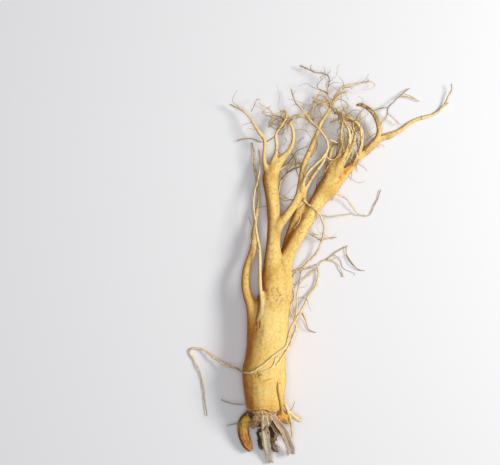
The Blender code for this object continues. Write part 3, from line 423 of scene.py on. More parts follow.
# %% Routes of the strands that weave through the tangles
TANGLE_STRANDS = [
    [
        (46.5, 155.4, 10.5, 0.8), (49.0, 152.6, 11.8, 0.77), (51.1, 149.8, 13.0, 0.74),
        (53.2, 147.7, 13.8, 0.72), (55.3, 144.2, 14.7, 0.68), (57.4, 141.4, 15.2, 0.65),
        (58.8, 138.6, 15.6, 0.63), (57.4, 134.4, 15.8, 0.59), (55.3, 131.6, 15.9, 0.56),
    ],
    [
        (51.1, 149.8, 8.5, 0.5), (54.6, 148.4, 9.9, 0.46), (58.1, 147.7, 10.8, 0.43),
        (60.2, 146.3, 11.2, 0.4), (61.6, 144.2, 11.3, 0.38), (60.9, 141.4, 11.2, 0.35),
    ],
    [
        (52.5, 146.3, 16.0, 0.8), (51.4, 141.4, 16.0, 0.75), (51.1, 137.2, 15.9, 0.7),
        (51.4, 133.0, 15.6, 0.65), (52.1, 128.1, 15.1, 0.6), (53.2, 124.6, 14.7, 0.56),
    ],
    [
        (59.5, 147.7, 13.8, 0.45), (59.1, 142.8, 14.0, 0.42), (60.2, 139.3, 13.7, 0.4),
        (62.3, 135.8, 12.8, 0.37), (63.3, 131.6, 11.0, 0.34), (63.0, 127.4, 8.9, 0.32),
    ],
    [
        (63.0, 145.6, 13.7, 0.75), (63.7, 141.4, 13.3, 0.71), (65.1, 137.9, 12.8, 0.67),
        (65.5, 133.0, 11.4, 0.62), (65.1, 128.1, 9.5, 0.57), (63.3, 123.9, 7.2, 0.52),
    ],
    [
        (60.9, 144.9, 10.8, 0.55), (60.2, 141.4, 11.6, 0.52), (58.8, 139.3, 12.2, 0.5),
        (58.4, 136.5, 12.8, 0.47), (58.8, 133.0, 13.7, 0.44), (57.4, 129.5, 14.5, 0.41),
        (56.3, 126.7, 15.2, 0.39),
    ],
    [
        (56.0, 138.6, 16.6, 0.4), (55.6, 134.4, 15.5, 0.36), (54.2, 131.6, 14.3, 0.34),
        (54.6, 128.1, 12.3, 0.31), (56.7, 126.0, 10.4, 0.28),
    ],
    [
        (53.2, 127.4, 12.0, 0.6), (52.5, 122.5, 12.2, 0.56), (51.1, 117.6, 12.0, 0.52),
        (49.0, 113.4, 11.2, 0.48), (46.2, 109.9, 9.8, 0.44), (44.1, 107.8, 8.8, 0.42),
    ],
    [
        (56.7, 124.6, 10.1, 0.5), (54.6, 121.8, 10.2, 0.47), (52.5, 117.6, 10.0, 0.44),
        (51.1, 114.1, 9.5, 0.41), (49.7, 111.3, 8.9, 0.39), (47.6, 107.1, 7.6, 0.35),
    ],
    [
        (59.5, 125.3, 10.4, 0.3), (58.8, 121.1, 8.8, 0.26), (58.1, 117.6, 6.3, 0.23),
        (58.1, 115.5, 4.5, 0.21),
    ],
]
print("strands in the thick of the tangle:", len(TANGLE_STRANDS))

# %% More routes of the strands
TANGLE_STRANDS += [
    [
        (63.0, 124.6, 7.6, 0.75), (62.3, 121.1, 7.4, 0.68), (60.9, 117.6, 6.5, 0.61),
        (58.8, 114.1, 4.5, 0.52),
    ],
    [
        (65.1, 121.1, 4.0, 0.55), (62.3, 116.9, 4.8, 0.49), (58.8, 113.4, 4.9, 0.43),
        (56.0, 111.3, 4.8, 0.39),
    ],
    [
        (65.8, 124.6, 7.9, 0.45), (68.6, 126.0, 7.4, 0.41), (70.7, 128.1, 6.6, 0.36),
        (72.8, 130.9, 5.1, 0.32),
    ],
    [(46.2, 151.9, 11.2, 0.55), (49.0, 151.2, 12.8, 0.47), (51.1, 149.1, 12.3, 0.39)],
    [
        (44.1, 144.9, 11.5, 0.4), (46.9, 146.3, 12.7, 0.35), (49.7, 147.7, 12.8, 0.31),
        (51.1, 149.1, 12.3, 0.28),
    ],
    [
        (36.4, 158.2, 8.9, 0.6), (39.2, 156.8, 9.5, 0.54), (42.0, 154.7, 9.7, 0.47),
        (44.1, 153.3, 9.4, 0.42),
    ],
    [
        (34.3, 133.0, 11.1, 0.55), (34.3, 128.1, 11.9, 0.49), (32.9, 124.6, 12.1, 0.44),
        (30.1, 121.1, 12.0, 0.39),
    ],
    [
        (42.7, 133.0, 18.1, 0.7), (44.8, 132.3, 16.6, 0.64), (47.6, 131.6, 13.8, 0.57),
        (50.4, 130.9, 9.9, 0.49),
    ],
    [
        (46.2, 119.0, 10.3, 0.55), (44.1, 116.9, 10.3, 0.52), (42.0, 113.4, 10.0, 0.47),
        (39.9, 109.9, 9.4, 0.43), (38.5, 106.4, 8.6, 0.39),
    ],
    [
        (11.9, 115.5, 4.3, 0.6), (16.1, 116.9, 6.9, 0.53), (20.3, 117.6, 8.9, 0.47),
        (23.8, 117.2, 10.2, 0.42),
    ],
    [
        (40.6, 121.1, 18.4, 0.45), (43.4, 119.0, 17.2, 0.41), (46.2, 119.0, 15.8, 0.38),
        (48.3, 121.1, 13.9, 0.35), (49.7, 123.9, 11.4, 0.32),
    ],
]
print("strands in the tangles:", len(TANGLE_STRANDS))

# %% Routes of the dry stems and their splinters
# The dead stems: the middle of each strap's back, from the neck to its broken end, with half its width.
STEMS = {
    "dry_stem_middle": [
        (-2.6, -57.2, 23.2, 2.4), (-2.4, -61.0, 22.2, 2.6), (-2.0, -65.6, 20.0, 3.0),
        (-1.5, -70.0, 17.4, 3.4), (-1.1, -77.0, 12.6, 3.35), (-0.5, -82.4, 9.2, 3.3), (0.6, -88.0, 6.0, 3.1),
        (1.8, -95.2, 3.2, 2.8),
    ],
    "dry_stem_right": [
        (2.8, -58.8, 22.2, 2.6), (4.8, -62.8, 20.6, 3.2), (8.2, -68.0, 18.0, 3.7), (11.6, -72.8, 15.2, 3.5),
        (13.6, -77.4, 12.6, 3.2), (15.3, -81.4, 10.4, 3.4), (16.2, -85.0, 8.4, 3.8), (16.4, -89.0, 6.8, 3.5),
    ],
}
SPLINTERS = {
    "left_splinter": [
        (-2.9, -69.4, 14.6, 0.9), (-5.4, -69.8, 13.9, 1.0), (-7.0, -71.2, 12.8, 1.05),
        (-6.6, -73.4, 11.2, 1.0), (-5.7, -75.8, 9.6, 1.15), (-5.8, -79.4, 7.6, 1.45),
        (-5.2, -82.8, 5.8, 1.35), (-3.7, -85.6, 4.6, 0.5),
    ],
    "right_splinter": [
        (0.0, -70.0, 14.3, 0.9), (2.2, -74.0, 12.2, 1.2), (3.4, -78.0, 10.0, 1.2), (3.6, -80.8, 8.6, 1.0),
        (4.8, -83.2, 7.1, 1.6), (6.4, -85.2, 6.2, 1.3), (8.0, -86.4, 5.6, 0.4),
    ],
}
print("dry stems:", len(STEMS), "and splinters:", len(SPLINTERS))

# %% [markdown]
# ## From a route to a tube
#
# Blender's own curves can be given a thickness, but then the rings can't be shaped one by one. A few small
# helpers do more. The first runs a Catmull-Rom curve through the given points and cuts it at an even
# spacing. The second carries two directions along the curve, square to it, without any twist: it starts
# with one direction and, at each ring, takes away what no longer is square. The third sets rings of points
# round the curve and joins them with four-sided faces.

# %% A smooth route through a few points
CURVE_STEPS = 12
FEWEST_STATIONS = 3


def distance_along(rows):
    """How far along its route each row of x, y, z lies."""
    steps = np.diff(rows[:, :3], axis=0, prepend=rows[:1, :3])
    return np.cumsum(np.linalg.norm(steps, axis=1))


def smooth_route(points, spacing):
    """Rows of x, y, z and radius, evenly spaced along a Catmull-Rom curve through the given points."""
    points = np.array(points, float)
    before = 2 * points[0] - points[1]
    after = 2 * points[-1] - points[-2]
    padded = np.vstack([before, points, after])
    fine = []
    for a, b, c, d in zip(padded, padded[1:], padded[2:], padded[3:]):
        for t in np.linspace(0, 1, CURVE_STEPS, endpoint=False):
            square = (2 * a - 5 * b + 4 * c - d) * t**2
            cube = (3 * b - a - 3 * c + d) * t**3
            fine.append(0.5 * (2 * b + (c - a) * t + square + cube))
    fine.append(points[-1])
    fine = np.array(fine)
    along = distance_along(fine)
    places = np.linspace(0, along[-1], max(FEWEST_STATIONS, round(along[-1] / spacing) + 1))
    return np.column_stack([np.interp(places, along, column) for column in fine.T])


print("the neck's route has", len(smooth_route(NECK, 1.0)), "stations a millimetre apart")

# %% Directions along a route, and a tube round it
# How far the rounded tip's rings have closed in, and how far they reach past the last ring, in radii.
TIP_RINGS = ((0.9, 0.3), (0.72, 0.55), (0.45, 0.78), (0.18, 0.92))


def frames_along(centres):
    """The direction of travel at each ring, and two directions square to it that don't twist."""
    tangents = np.gradient(centres, axis=0)
    tangents /= np.linalg.norm(tangents, axis=1)[:, None]
    side = np.cross(tangents[0], (0, 0, 1))
    sides = []
    for tangent in tangents:
        side = side - tangent * np.dot(side, tangent)
        side /= np.linalg.norm(side)
        sides.append(side)
    sides = np.array(sides)
    return tangents, sides, np.cross(sides, tangents)


def bridged(rings, sides):
    """Faces between rings that hold the same number of points, and a flat face at each end."""
    faces = [tuple(range(sides)), tuple(range((rings - 1) * sides, rings * sides))[::-1]]
    for ring, side in itertools.product(range(rings - 1), range(sides)):
        following = (side + 1) % sides
        low, high = ring * sides, (ring + 1) * sides
        faces.append((low + side, high + side, high + following, low + following))
    return faces


def tube(rows, sides, swell=None):
    """Points and faces of a closed tube with a rounded tip. swell gives each ring's radii a share to add."""
    tangents, across, up = frames_along(rows[:, :3])
    angles = 2 * math.pi * np.arange(sides) / sides
    spokes = np.cos(angles)[None, :, None] * across[:, None] + np.sin(angles)[None, :, None] * up[:, None]
    radii = np.repeat(rows[:, 3:4], sides, axis=1)
    if swell is not None:
        radii = radii * (1 + swell(rows, angles))
    rings = list(rows[:, None, :3] + radii[..., None] * spokes)
    tip, radius = rows[-1, :3], rows[-1, 3]
    for share, reach in TIP_RINGS:
        rings.append(tip + tangents[-1] * radius * reach + (rings[len(rows) - 1] - tip) * share)
    return np.vstack(rings), bridged(len(rings), sides)


# %% Helpers for meshes
def joined(shells):
    """Several closed shapes as one list of points and one of faces."""
    points, faces, first = [], [], 0
    for shell_points, shell_faces in shells:
        points.append(shell_points)
        faces += [tuple(first + corner for corner in face) for face in shell_faces]
        first += len(shell_points)
    return np.vstack(points), faces


def mesh_from(name, points, faces):
    """A mesh in millimetres, whose faces all point outwards."""
    mesh = bpy.data.meshes.new(name)
    mesh.from_pydata(np.asarray(points).tolist(), [], faces)
    mesh.validate()
    return mesh


def object_from(name, mesh):
    """An object that shows the mesh in the scene."""
    made = bpy.data.objects.new(name, mesh)
    scene.collection.objects.link(made)
    return made


def vectors_of(mesh, key):
    """The places ("co") or the normals ("normal") of a mesh's points, as rows of three numbers."""
    values = np.empty(len(mesh.vertices) * 3)
    mesh.vertices.foreach_get(key, values)
    return values.reshape(-1, 3)


def set_points(mesh, points):
    """Moves the mesh's points to new places."""
    mesh.vertices.foreach_set("co", np.asarray(points, np.float32).ravel())
    mesh.update()


# %% [markdown]
# ## Random but repeatable
#
# Skin needs roughness that never repeats, yet the script has to give the same root every time. Blender's
# own noise is fixed for a given place, so a field of bumps is just that noise read at every point, with the
# place shifted by a seed. Two fields with other seeds don't look alike.

# %% Noise fields
def bumps(points, size, seed):
    """Smooth random heights, about -1 to 1, with a swell about every `size` millimetres."""
    shift = Vector((seed * 13.7, seed * -5.3, seed * 9.1))
    return np.array([noise.noise(Vector(point) + shift) for point in (points / size).tolist()])


def soft_step(low, high, values):
    """A share that eases from 0 at low to 1 at high. With high below low, it eases the other way."""
    share = np.clip((values - low) / (high - low), 0, 1)
    return share * share * (3 - 2 * share)


def bell(values, width):
    """A share that is 1 where the value is 0, and falls away to both sides over about the width."""
    return np.exp(-((values / width) ** 2))


# %% [markdown]
# ## One skin over the thick roots
#
# On the plant, the legs grow out of the body with no seam. Tubes that only pass through each other would
# show a hard line at every fork. So the tubes are joined by a voxel remesh, which wraps one even skin round
# all of them, and the skin is then relaxed: every point moves a little towards its neighbours, more on
# thick roots than on thin ones, which fills the forks as flesh does. Each point keeps a note of the root
# that it is on.

# %% Low swellings round the body and the legs
# How high each swelling is, how many there are round the root, how fast they turn along it, and their start.
SWELLINGS = ((0.022, 2, 0.045, 0.6), (0.014, 3, -0.083, 2.1), (0.010, 5, 0.121, 4.0))


def root_swell(rows, angles):
    """A share to add to each radius: the same swellings that the solid model has."""
    places = distance_along(rows)[:, None]
    waves = 0
    for share, count, pace, phase in SWELLINGS:
        waves = waves + share * np.sin(count * angles[None] + pace * places + phase)
    return waves


print("swellings, shares of the radius:", [share for share, _, _, _ in SWELLINGS])

# %% Tubes for the thick roots
# A branch root joins the skin down to the radius THICK. Below that, it becomes a tube of its own.
THICK = 1.25
BODY_SPACING = 1.5
LEG_SPACING = 1.2
BRANCH_SPACING = 1.0
KNUCKLE_SPACING = 0.8
FEWEST_RINGS = 4
SIDES = {"body": 56, "neck": 36}
LEG_SIDES = 20
KNUCKLE_SIDES = 18

scaled_body = [(x, y, z, share * BODY_RADIUS) for x, y, z, share in BODY]
scaled_neck = [(x, y, z, share * NECK_RADIUS) for x, y, z, share in NECK]
thick_routes = {
    "body": smooth_route(scaled_body, BODY_SPACING),
    "neck": smooth_route(scaled_neck, LEG_SPACING),
}
for name, route in LEGS.items():
    thick_routes[name] = smooth_route(route, LEG_SPACING)
for name, route in BRANCHES.items():
    rows = smooth_route(route, BRANCH_SPACING)
    thin = np.flatnonzero(rows[:, 3] < THICK)
    count = thin[0] + 1 if len(thin) else len(rows)
    if count > FEWEST_RINGS:
        thick_routes[name] = rows[:count]

shells = []
for name, rows in thick_routes.items():
    swell = root_swell if name in LEGS or name in SIDES else None
    shells.append(tube(rows, SIDES.get(name, LEG_SIDES), swell))
for x, y, z, radius in KNUCKLES:
    ball = [(x, y - radius * 0.7, z, radius * 0.62), (x, y, z, radius), (x, y + radius, z, radius * 0.5)]
    shells.append(tube(smooth_route(ball, KNUCKLE_SPACING), KNUCKLE_SIDES))
print("thick roots:", len(thick_routes), "and knuckles:", len(KNUCKLES))

# %% Wrap one skin round them
VOXEL = 0.565

skin_mesh = mesh_from("root_skin", *joined(shells))
skin = object_from("root_skin", skin_mesh)
wrap = skin.modifiers.new("one_skin", "REMESH")
wrap.mode = "VOXEL"
wrap.voxel_size = VOXEL
bpy.context.view_layer.update()
wrapped = skin.evaluated_get(bpy.context.evaluated_depsgraph_get())
skin_mesh = bpy.data.meshes.new_from_object(wrapped)
skin.modifiers.clear()
skin.data = skin_mesh
print("skin:", len(skin_mesh.vertices), "points from", len(shells), "shapes")


# %% Find which root each point is on
class RouteBook:
    """All the routes as one row of stations, to look up the nearest root and the place along it."""

    def __init__(self, routes):
        """Lays the routes end to end, and notes the root, the place and the directions of each station."""
        rows = list(routes.values())
        places = [distance_along(route) for route in rows]
        directions = [frames_along(route[:, :3]) for route in rows]
        self.names = list(routes)
        self.rows = np.concatenate(rows)
        self.owner = np.concatenate([np.full(len(route), number) for number, route in enumerate(rows)])
        self.place = np.concatenate(places)
        self.share = np.concatenate([place / place[-1] for place in places])
        self.tangent, self.across, self.up = [np.concatenate(kind) for kind in zip(*directions)]

    def look_up(self, points, chunk=4000):
        """For each point: its station and height over that root, and the same for the next nearest root."""
        stations, heights, others, gaps = [], [], [], []
        for start in range(0, len(points), chunk):
            part = points[start : start + chunk]
            away = np.linalg.norm(part[:, None] - self.rows[None, :, :3], axis=2) - self.rows[None, :, 3]
            best = away.argmin(axis=1)
            height = away[np.arange(len(part)), best]
            away[self.owner[None] == self.owner[best][:, None]] = np.inf
            other = away.argmin(axis=1)
            stations.append(best)
            heights.append(height)
            others.append(other)
            gaps.append(away[np.arange(len(part)), other])
        return [np.concatenate(found) for found in (stations, heights, others, gaps)]


book = RouteBook(thick_routes)
print("stations on", len(book.names), "roots:", len(book.rows))

# %% Each point's neighbours on the skin
def neighbour_lists(mesh):
    """For each edge its two points, and how many edges each point has."""
    edges = np.empty(len(mesh.edges) * 2, np.int64)
    mesh.edges.foreach_get("vertices", edges)
    edges = edges.reshape(-1, 2)
    return edges, np.bincount(edges.ravel(), minlength=len(mesh.vertices))


def averaged(values, edges, counts):
    """Each point's value replaced by the mean of its neighbours'."""
    total = np.zeros_like(values)
    if values.ndim == 1:
        total += np.bincount(edges[:, 0], values[edges[:, 1]], len(values))
        total += np.bincount(edges[:, 1], values[edges[:, 0]], len(values))
        return total / counts
    for axis in range(values.shape[1]):
        total[:, axis] = averaged(values[:, axis], edges, counts)
    return total


points = vectors_of(skin_mesh, "co")
edges, counts = neighbour_lists(skin_mesh)
print("neighbours of a point:", round(float(counts.mean()), 2), "on average")

# %% [markdown]
# ## Flesh in the forks
#
# Where a leg leaves the body, the flesh rounds the corner. A Boolean union would leave it sharp. Modellers
# of smooth shapes call this a smooth union: near a second root, the skin stands out a little more, the
# nearer it is, up to a quarter of the fillet's width. The skin is moved there in three small steps, along
# its own normal, and is then relaxed.

# %% Fill the forks
# The fillet's width is its base and a share of the thinner root's radius. A point moves most of its step.
FILLET_BASE = 0.8
FILLET_SHARE = 0.75
FILL_ROUNDS = 3
STEP_LIMITS = (-0.2, 1.2)
STEP_SHARE = 0.8

start_height = None
for _ in range(FILL_ROUNDS):
    station, height, other, gap = book.look_up(points)
    thinner = np.minimum(book.rows[station, 3], book.rows[other, 3])
    width = FILLET_BASE + FILLET_SHARE * thinner
    nearness = np.clip((width - np.abs(gap - height)) / width, 0, 1)
    if start_height is None:
        start_height = np.minimum(height, gap)
    step = start_height + nearness**2 * width / 4 - np.minimum(height, gap)
    points += vectors_of(skin_mesh, "normal") * (np.clip(step, *STEP_LIMITS) * STEP_SHARE)[:, None]
    points += (averaged(points, edges, counts) - points) * 0.5
    set_points(skin_mesh, points)
print("forks filled, widest fillet:", round(float(width.max()), 1), "mm")

# %% Relax the skin
RELAX_ROUNDS = 12
LEAST_SOFT = 0.25
MORE_ON_THICK = 0.6
NECK_SOFTNESS = 0.3

softness = LEAST_SOFT + MORE_ON_THICK * soft_step(1.5, 6.0, book.rows[station, 3])
owner_name = np.array(book.names)[book.owner[station]]
softness[owner_name == "neck"] = NECK_SOFTNESS
for _ in range(RELAX_ROUNDS):
    points += (averaged(points, edges, counts) - points) * softness[:, None]
set_points(skin_mesh, points)
print("skin relaxed, softness:", round(softness.min(), 2), "to", round(softness.max(), 2))

# %% [markdown]
# ## Wrinkles, rings, pits and scars
#
# A fresh root's skin is smooth but never plain. It has broad lumps, faint rings across it where it has
# drawn back into the soil, shallow grooves along it, and small cross-wise pits. A bump in the material
# could fake them, but it wouldn't show in the outline or in the mesh. So each of these is a height added
# along the skin's own normal. The rings and grooves come from the same noise as the lumps, read in
# stretched coordinates: the place along the root, and the distance round it.

# %% Where each point is along and round its root
THICKEST_FOR_ROUND = 12.0


def round_root(points, book, station):
    """How far round its root each point is, in millimetres."""
    out = points - book.rows[station, :3]
    angle = np.arctan2((out * book.up[station]).sum(1), (out * book.across[station]).sum(1))
    return angle * np.minimum(book.rows[station, 3], THICKEST_FOR_ROUND)


normals = vectors_of(skin_mesh, "normal")
station, height, other, gap = book.look_up(points)
radius = book.rows[station, 3]
place = book.place[station]
owner_name = np.array(book.names)[book.owner[station]]
round_by = round_root(points, book, station)
# Seven millimetres of noise between one root and the next, so that no two look alike.
kind = book.owner[station] * 7.0
thickness = soft_step(1.0, 9.0, radius)
print("radius under the skin, mm:", round(radius.min(), 1), "to", round(radius.max(), 1))

# %% Lumps, rings and grooves
# Each term is a height in millimetres, times noise whose swells are so many millimetres wide.
lumps = 0.42 * bumps(points, 13.0, 1) + 0.16 * bumps(points, 5.0, 2) + 0.06 * bumps(points, 2.2, 3)
along_and_round = np.column_stack([place, round_by * 0.16, kind])
rings = bumps(along_and_round, 1.5, 4) + 0.6 * bumps(along_and_round, 0.8, 5)
ring_places = soft_step(-0.15, 0.45, bumps(np.column_stack([place, round_by * 0.3, kind]), 9.0, 6))
flutes = bumps(np.column_stack([place * 0.14, round_by, kind]), 2.6, 7)
relief = lumps * (0.25 + 0.75 * thickness)
relief += 0.075 * rings * ring_places + 0.10 * flutes * (0.4 + 0.6 * thickness)
relief *= np.clip(radius / 2.5, 0.35, 1.0)
print("lumps, rings and grooves, mm:", round(relief.min(), 2), "to", round(relief.max(), 2))

# %% Bark on the neck: fibres that fan out from the stems, lumps on the left, rings of old scars
NECK_END = -54.0
BARK_HEIGHT = 0.6

at_neck = (owner_name == "neck") | ((owner_name == "body") & (points[:, 1] < NECK_END - 0.5))
neckness = soft_step(NECK_END, NECK_END - 3.0, points[:, 1]) * at_neck
fanned = points * (1.0, 0.22, 1.0)
fanned[:, 0] += 0.16 * (points[:, 1] + 57.0) * np.tanh((points[:, 0] + 1.5) / 3)
fibrous = 0.9 * bumps(fanned, 1.5, 8) + 0.5 * bumps(fanned, 0.7, 9)
lumpy = 0.9 * bumps(points, 1.9, 17) + 0.7 * bumps(points, 0.9, 18)
bark = fibrous + (lumpy - fibrous) * soft_step(-2.5, -5.0, points[:, 0])
scar_rings = np.sin(points[:, 1] * 2.2 + 3.0 * bumps(points, 4.0, 10))
relief = relief * (1 - neckness) + (bark + 0.15 * scar_rings) * neckness * BARK_HEIGHT
print("points on the neck:", int(at_neck.sum()))

# %% Lines on the side root, and lumps on the bud and the nub
on_side_root = owner_name == "side_root"
side_lines = bumps(np.column_stack([place * 0.12, round_by, kind]), 1.1, 11)
side_grain = bumps(points, 0.9, 15)
relief[on_side_root] += (0.4 * side_lines + 0.12 * side_grain)[on_side_root]
on_bud = (owner_name == "bud") | (owner_name == "nub")
bud_lumps = bumps(points, 2.4, 12) + 0.5 * bumps(points, 1.1, 16)
relief[on_bud] += 0.55 * bud_lumps[on_bud]
print("relief, mm:", round(relief.min(), 2), "to", round(relief.max(), 2))

# %% A helper that measures from a line
def from_line(points, line):
    """Each point's distance from a given line, seen from above, and which side of it the point is on."""
    line = np.array(line, float)
    nearest = np.full(len(points), np.inf)
    side = np.zeros(len(points))
    for start, end in zip(line, line[1:]):
        run = end - start
        share = np.clip(((points[:, :2] - start) @ run) / (run @ run), 0, 1)
        off = points[:, :2] - start - share[:, None] * run
        away = np.linalg.norm(off, axis=1)
        closer = away < nearest
        nearest[closer] = away[closer]
        side[closer] = (run[0] * off[:, 1] - run[1] * off[:, 0])[closer]
    return nearest, np.sign(side)


def from_spot(points, spot):
    """Each point's distance, seen from above, from a spot."""
    return np.linalg.norm(points[:, :2] - spot, axis=1)


UPPER_HALF = 15.0
upper = points[:, 2] > UPPER_HALF
print("points on the upper half:", int(upper.sum()))

# %% Marks: the flank's fold, with a ridge beside it
FLANK_FOLD = [(6.4, -34.6), (6.2, -38.4), (6.8, -43.0), (8.0, -48.6), (8.8, -54.0), (9.0, -57.5)]
away, side = from_line(points, FLANK_FOLD)
thin_end = soft_step(-33.5, -42.0, points[:, 1])
fold = bell(away, 0.26 + 0.26 * thin_end) * upper
relief -= (0.45 + 0.5 * thin_end) * fold
relief += 0.45 * bell(away - 1.6, 1.3) * upper * (side > 0) * (points[:, 1] < -36)
print("fold, deepest, mm:", round(float(((0.45 + 0.5 * thin_end) * fold).max()), 2))

# %% Marks: the shoulder's broken edge and the gathers above it
SHOULDER_EDGE = [
    (-12.0, -55.6), (-8.6, -55.4), (-4.2, -54.8), (-0.6, -55.6), (2.2, -57.6), (5.0, -59.4), (8.0, -58.8),
]
away, _ = from_line(points, SHOULDER_EDGE)
broken = 0.30 + 0.70 * soft_step(-0.25, 0.35, bumps(points, 2.6, 19) + 0.5 * bell(points[:, 0] - 1.5, 3.0))
edge_groove = bell(away, 0.55) * upper * broken
relief -= 1.0 * edge_groove
gathers = np.sin(points[:, 0] * 3.6 + 2.0 * bumps(points, 3.0, 20)) * upper
gathers *= bell(points[:, 0] - 5.0, 4.0) * soft_step(-50.5, -55.5, points[:, 1]) * (owner_name == "body")
gathers *= soft_step(-0.3, 0.4, bumps(points * (1.0, 0.3, 1.0), 2.2, 34))
relief += 0.16 * gathers
relief += 0.35 * bell(away - 1.2, 0.9) * upper * (points[:, 1] > -57)
print("points in the edge's groove:", int((edge_groove > 0.5).sum()))

# %% Marks: the scar where a rootlet joins the body, and the seats of the dry stems
ROOTLET_SCAR = (-6.8, -29.6)
SCAR_SIZE = 2.4
SEAT_WIDTH = 3.0
SEAT_DEPTH = 2.6

scar = bell(from_spot(points, ROOTLET_SCAR), SCAR_SIZE) * upper
scar_lines = bumps(points * (1.0, 0.6, 1.0), 1.0, 35)
relief += 0.7 * scar_lines * scar
scar *= soft_step(0.1, -0.35, scar_lines)
for route in STEMS.values():
    away, _ = from_line(points, [row[:2] for row in route])
    seat = bell(away, SEAT_WIDTH) * soft_step(-57.5, -60.5, points[:, 1]) * (points[:, 2] > 11.0) * at_neck
    relief -= SEAT_DEPTH * seat
print("scar and", len(STEMS), "seats made")

# %% Marks: puckers, a freckled patch and a faint ring, each at its own place
PUCKER = (-6.4, 2.6)
PUCKER_SIZE = 4.6
FRECKLES = (7.4, 21.0)
FRECKLES_SIZE = 5.0
RING_MARK = (-0.8, -33.4)

pucker = bell(from_spot(points, PUCKER), PUCKER_SIZE) * upper
relief += 0.40 * bumps(points * (1.0, 0.7, 1.0), 1.7, 13) * pucker
freckled = bell(np.linalg.norm((points[:, :2] - FRECKLES) * (1.2, 0.8), axis=1), FRECKLES_SIZE) * upper
freckles = soft_step(0.12, 0.45, bumps(points, 1.3, 14)) * freckled
relief -= 0.08 * freckles
ring_mark = bell(points[:, 1] - RING_MARK[1] - 0.25 * (points[:, 0] - RING_MARK[0]), 0.45)
ring_mark *= bell(points[:, 0] - RING_MARK[0], 4.0) * upper
relief -= 0.18 * ring_mark
print("freckled points:", int((freckles > 0.5).sum()))

# %% Pits and cross-wise dashes all over
PITS = 300
DASH_SHARE = 0.25
DASH_LENGTHS = (0.6, 1.5)
PIT_LENGTHS = (0.3, 0.5)

dirt = np.zeros(len(points))
tree = kdtree.KDTree(len(points))
for index, point in enumerate(points.tolist()):
    tree.insert(point, index)
tree.balance()
picker = random.Random(11)
skin_places = np.flatnonzero(~at_neck & (radius > 1.8))
for _ in range(PITS):
    centre = picker.choice(skin_places)
    lengths = DASH_LENGTHS if picker.random() < DASH_SHARE else PIT_LENGTHS
    length = picker.uniform(*lengths)
    width = picker.uniform(0.25, 0.36)
    depth = picker.uniform(0.03, 0.1)
    across_root = np.cross(normals[centre], book.tangent[station[centre]])
    near = [found for _, found, _ in tree.find_range(Vector(points[centre]), length * 2)]
    off = points[near] - points[centre]
    by_length = off @ across_root
    by_width = off @ book.tangent[station[centre]]
    hollow = bell(by_length, length) * bell(by_width, width)
    relief[near] -= depth * hollow
    dirt[near] = np.maximum(dirt[near], hollow * picker.uniform(0.1, 0.65) ** 1.6)
print("pits and dashes:", PITS)

# %% Set the skin in place, inside the solid model's box
FLOOR_GAP = 0.02
BOX_INSET = 0.002


def kept_in_box(points):
    """No point lower than the table or outside the solid model's box."""
    low = LOW_CORNER + BOX_INSET
    low[2] = FLOOR_GAP
    return np.clip(points, low, HIGH_CORNER - BOX_INSET)


points = kept_in_box(points + normals * relief[:, None])
set_points(skin_mesh, points)
print("skin, mm:", np.round(points.min(axis=0), 1), np.round(points.max(axis=0), 1))

# %% [markdown]
# ## Colour from the shape
#
# The skin's colour follows its shape and place: cream where it is full and clean, ochre towards the forks
# where soil and sap gather and where shade is painted in, brown in pits and folds, painted shade on the left
# flank, the sides and the underside, and pinkish brown on the old bark of the neck. Nodes alone can't tell
# which root a point is on. So all of that is worked out once for each point and kept as a colour attribute,
# which the material then reads. It stays on the mesh, so the root has the same colour, painted shade and
# all, from every side and under any light.

# %% Colours and the colour attribute
def linear(red, green, blue):
    """A colour as a screen shows it, 0 to 255, turned into the light values that Blender works in."""
    shares = np.array([red, green, blue], float) / 255
    return np.where(shares <= 0.04045, shares / 12.92, ((shares + 0.055) / 1.055) ** 2.4)


def mixed(base, colour, share):
    """The base colours, each point's mixed with the other colour by its own share."""
    return base + (colour - base) * np.clip(share, 0, 1)[:, None]


def layered(colours, layers):
    """Colours laid over each other in turn: each layer is a colour, and its share at each point."""
    for colour, share in layers:
        colours = mixed(colours, colour, share)
    return colours


def plain(colour, points):
    """The same colour for every point, to start from."""
    return np.tile(colour, (len(points), 1))


def give_colour(mesh, colours, name="tone"):
    """Keeps each point's colour on the mesh, where a material can read it by name."""
    layer = mesh.color_attributes.new(name, "FLOAT_COLOR", "POINT")
    values = np.ones((len(mesh.vertices), 4), np.float32)
    values[:, :3] = np.clip(colours, 0, 1)
    layer.data.foreach_set("color", values.ravel())


# %% The palette
# Each tone is written as a screen would show it.
CREAM = linear(246, 217, 137)
STRAW = linear(240, 198, 101)
GOLD = linear(223, 165, 64)
OCHRE = linear(196, 122, 34)
# The painted shade of the left flank.
FLANK = linear(180, 98, 4)
UMBER = linear(122, 68, 10)
SOIL = linear(78, 44, 18)
SIDE_ROOT_TONE = linear(222, 146, 76)
SIDE_ROOT_LIGHT = linear(226, 188, 84)
BUD_TONE = linear(218, 162, 78)
NUB_TONE = linear(190, 136, 78)
BARK = linear(230, 182, 130)
BARK_LIGHT = linear(252, 222, 178)
BARK_DARK = linear(80, 40, 22)
ROOTLET = linear(254, 226, 168)
ROOTLET_TIP = linear(128, 108, 78)
# A painted highlight for the rootlets' lit sides.
ROOTLET_HIGHLIGHT = linear(255, 240, 196)
ROOTLET_GREY = linear(150, 138, 126)
# A painted shade for the rootlets' sides that face away from the light.
ROOTLET_SHADE = linear(96, 66, 24)
print("cream, as light values:", np.round(CREAM, 2))

# %% [markdown]
# ## The body and the legs
#
# Three things about a point's surroundings steer its colour. Whether the skin curves inwards there shows
# folds and forks, which hold soil and get painted shade. Which way it faces gives painted shade on the
# left flank, the sides and the underside, and leaves the open top light. How thick the root is tells a leg
# from a rootlet. The tones are laid over each other from the widest to the smallest.

# %% Read the skin's shape
FORK_REACH = 10
CLOSE = 1.6

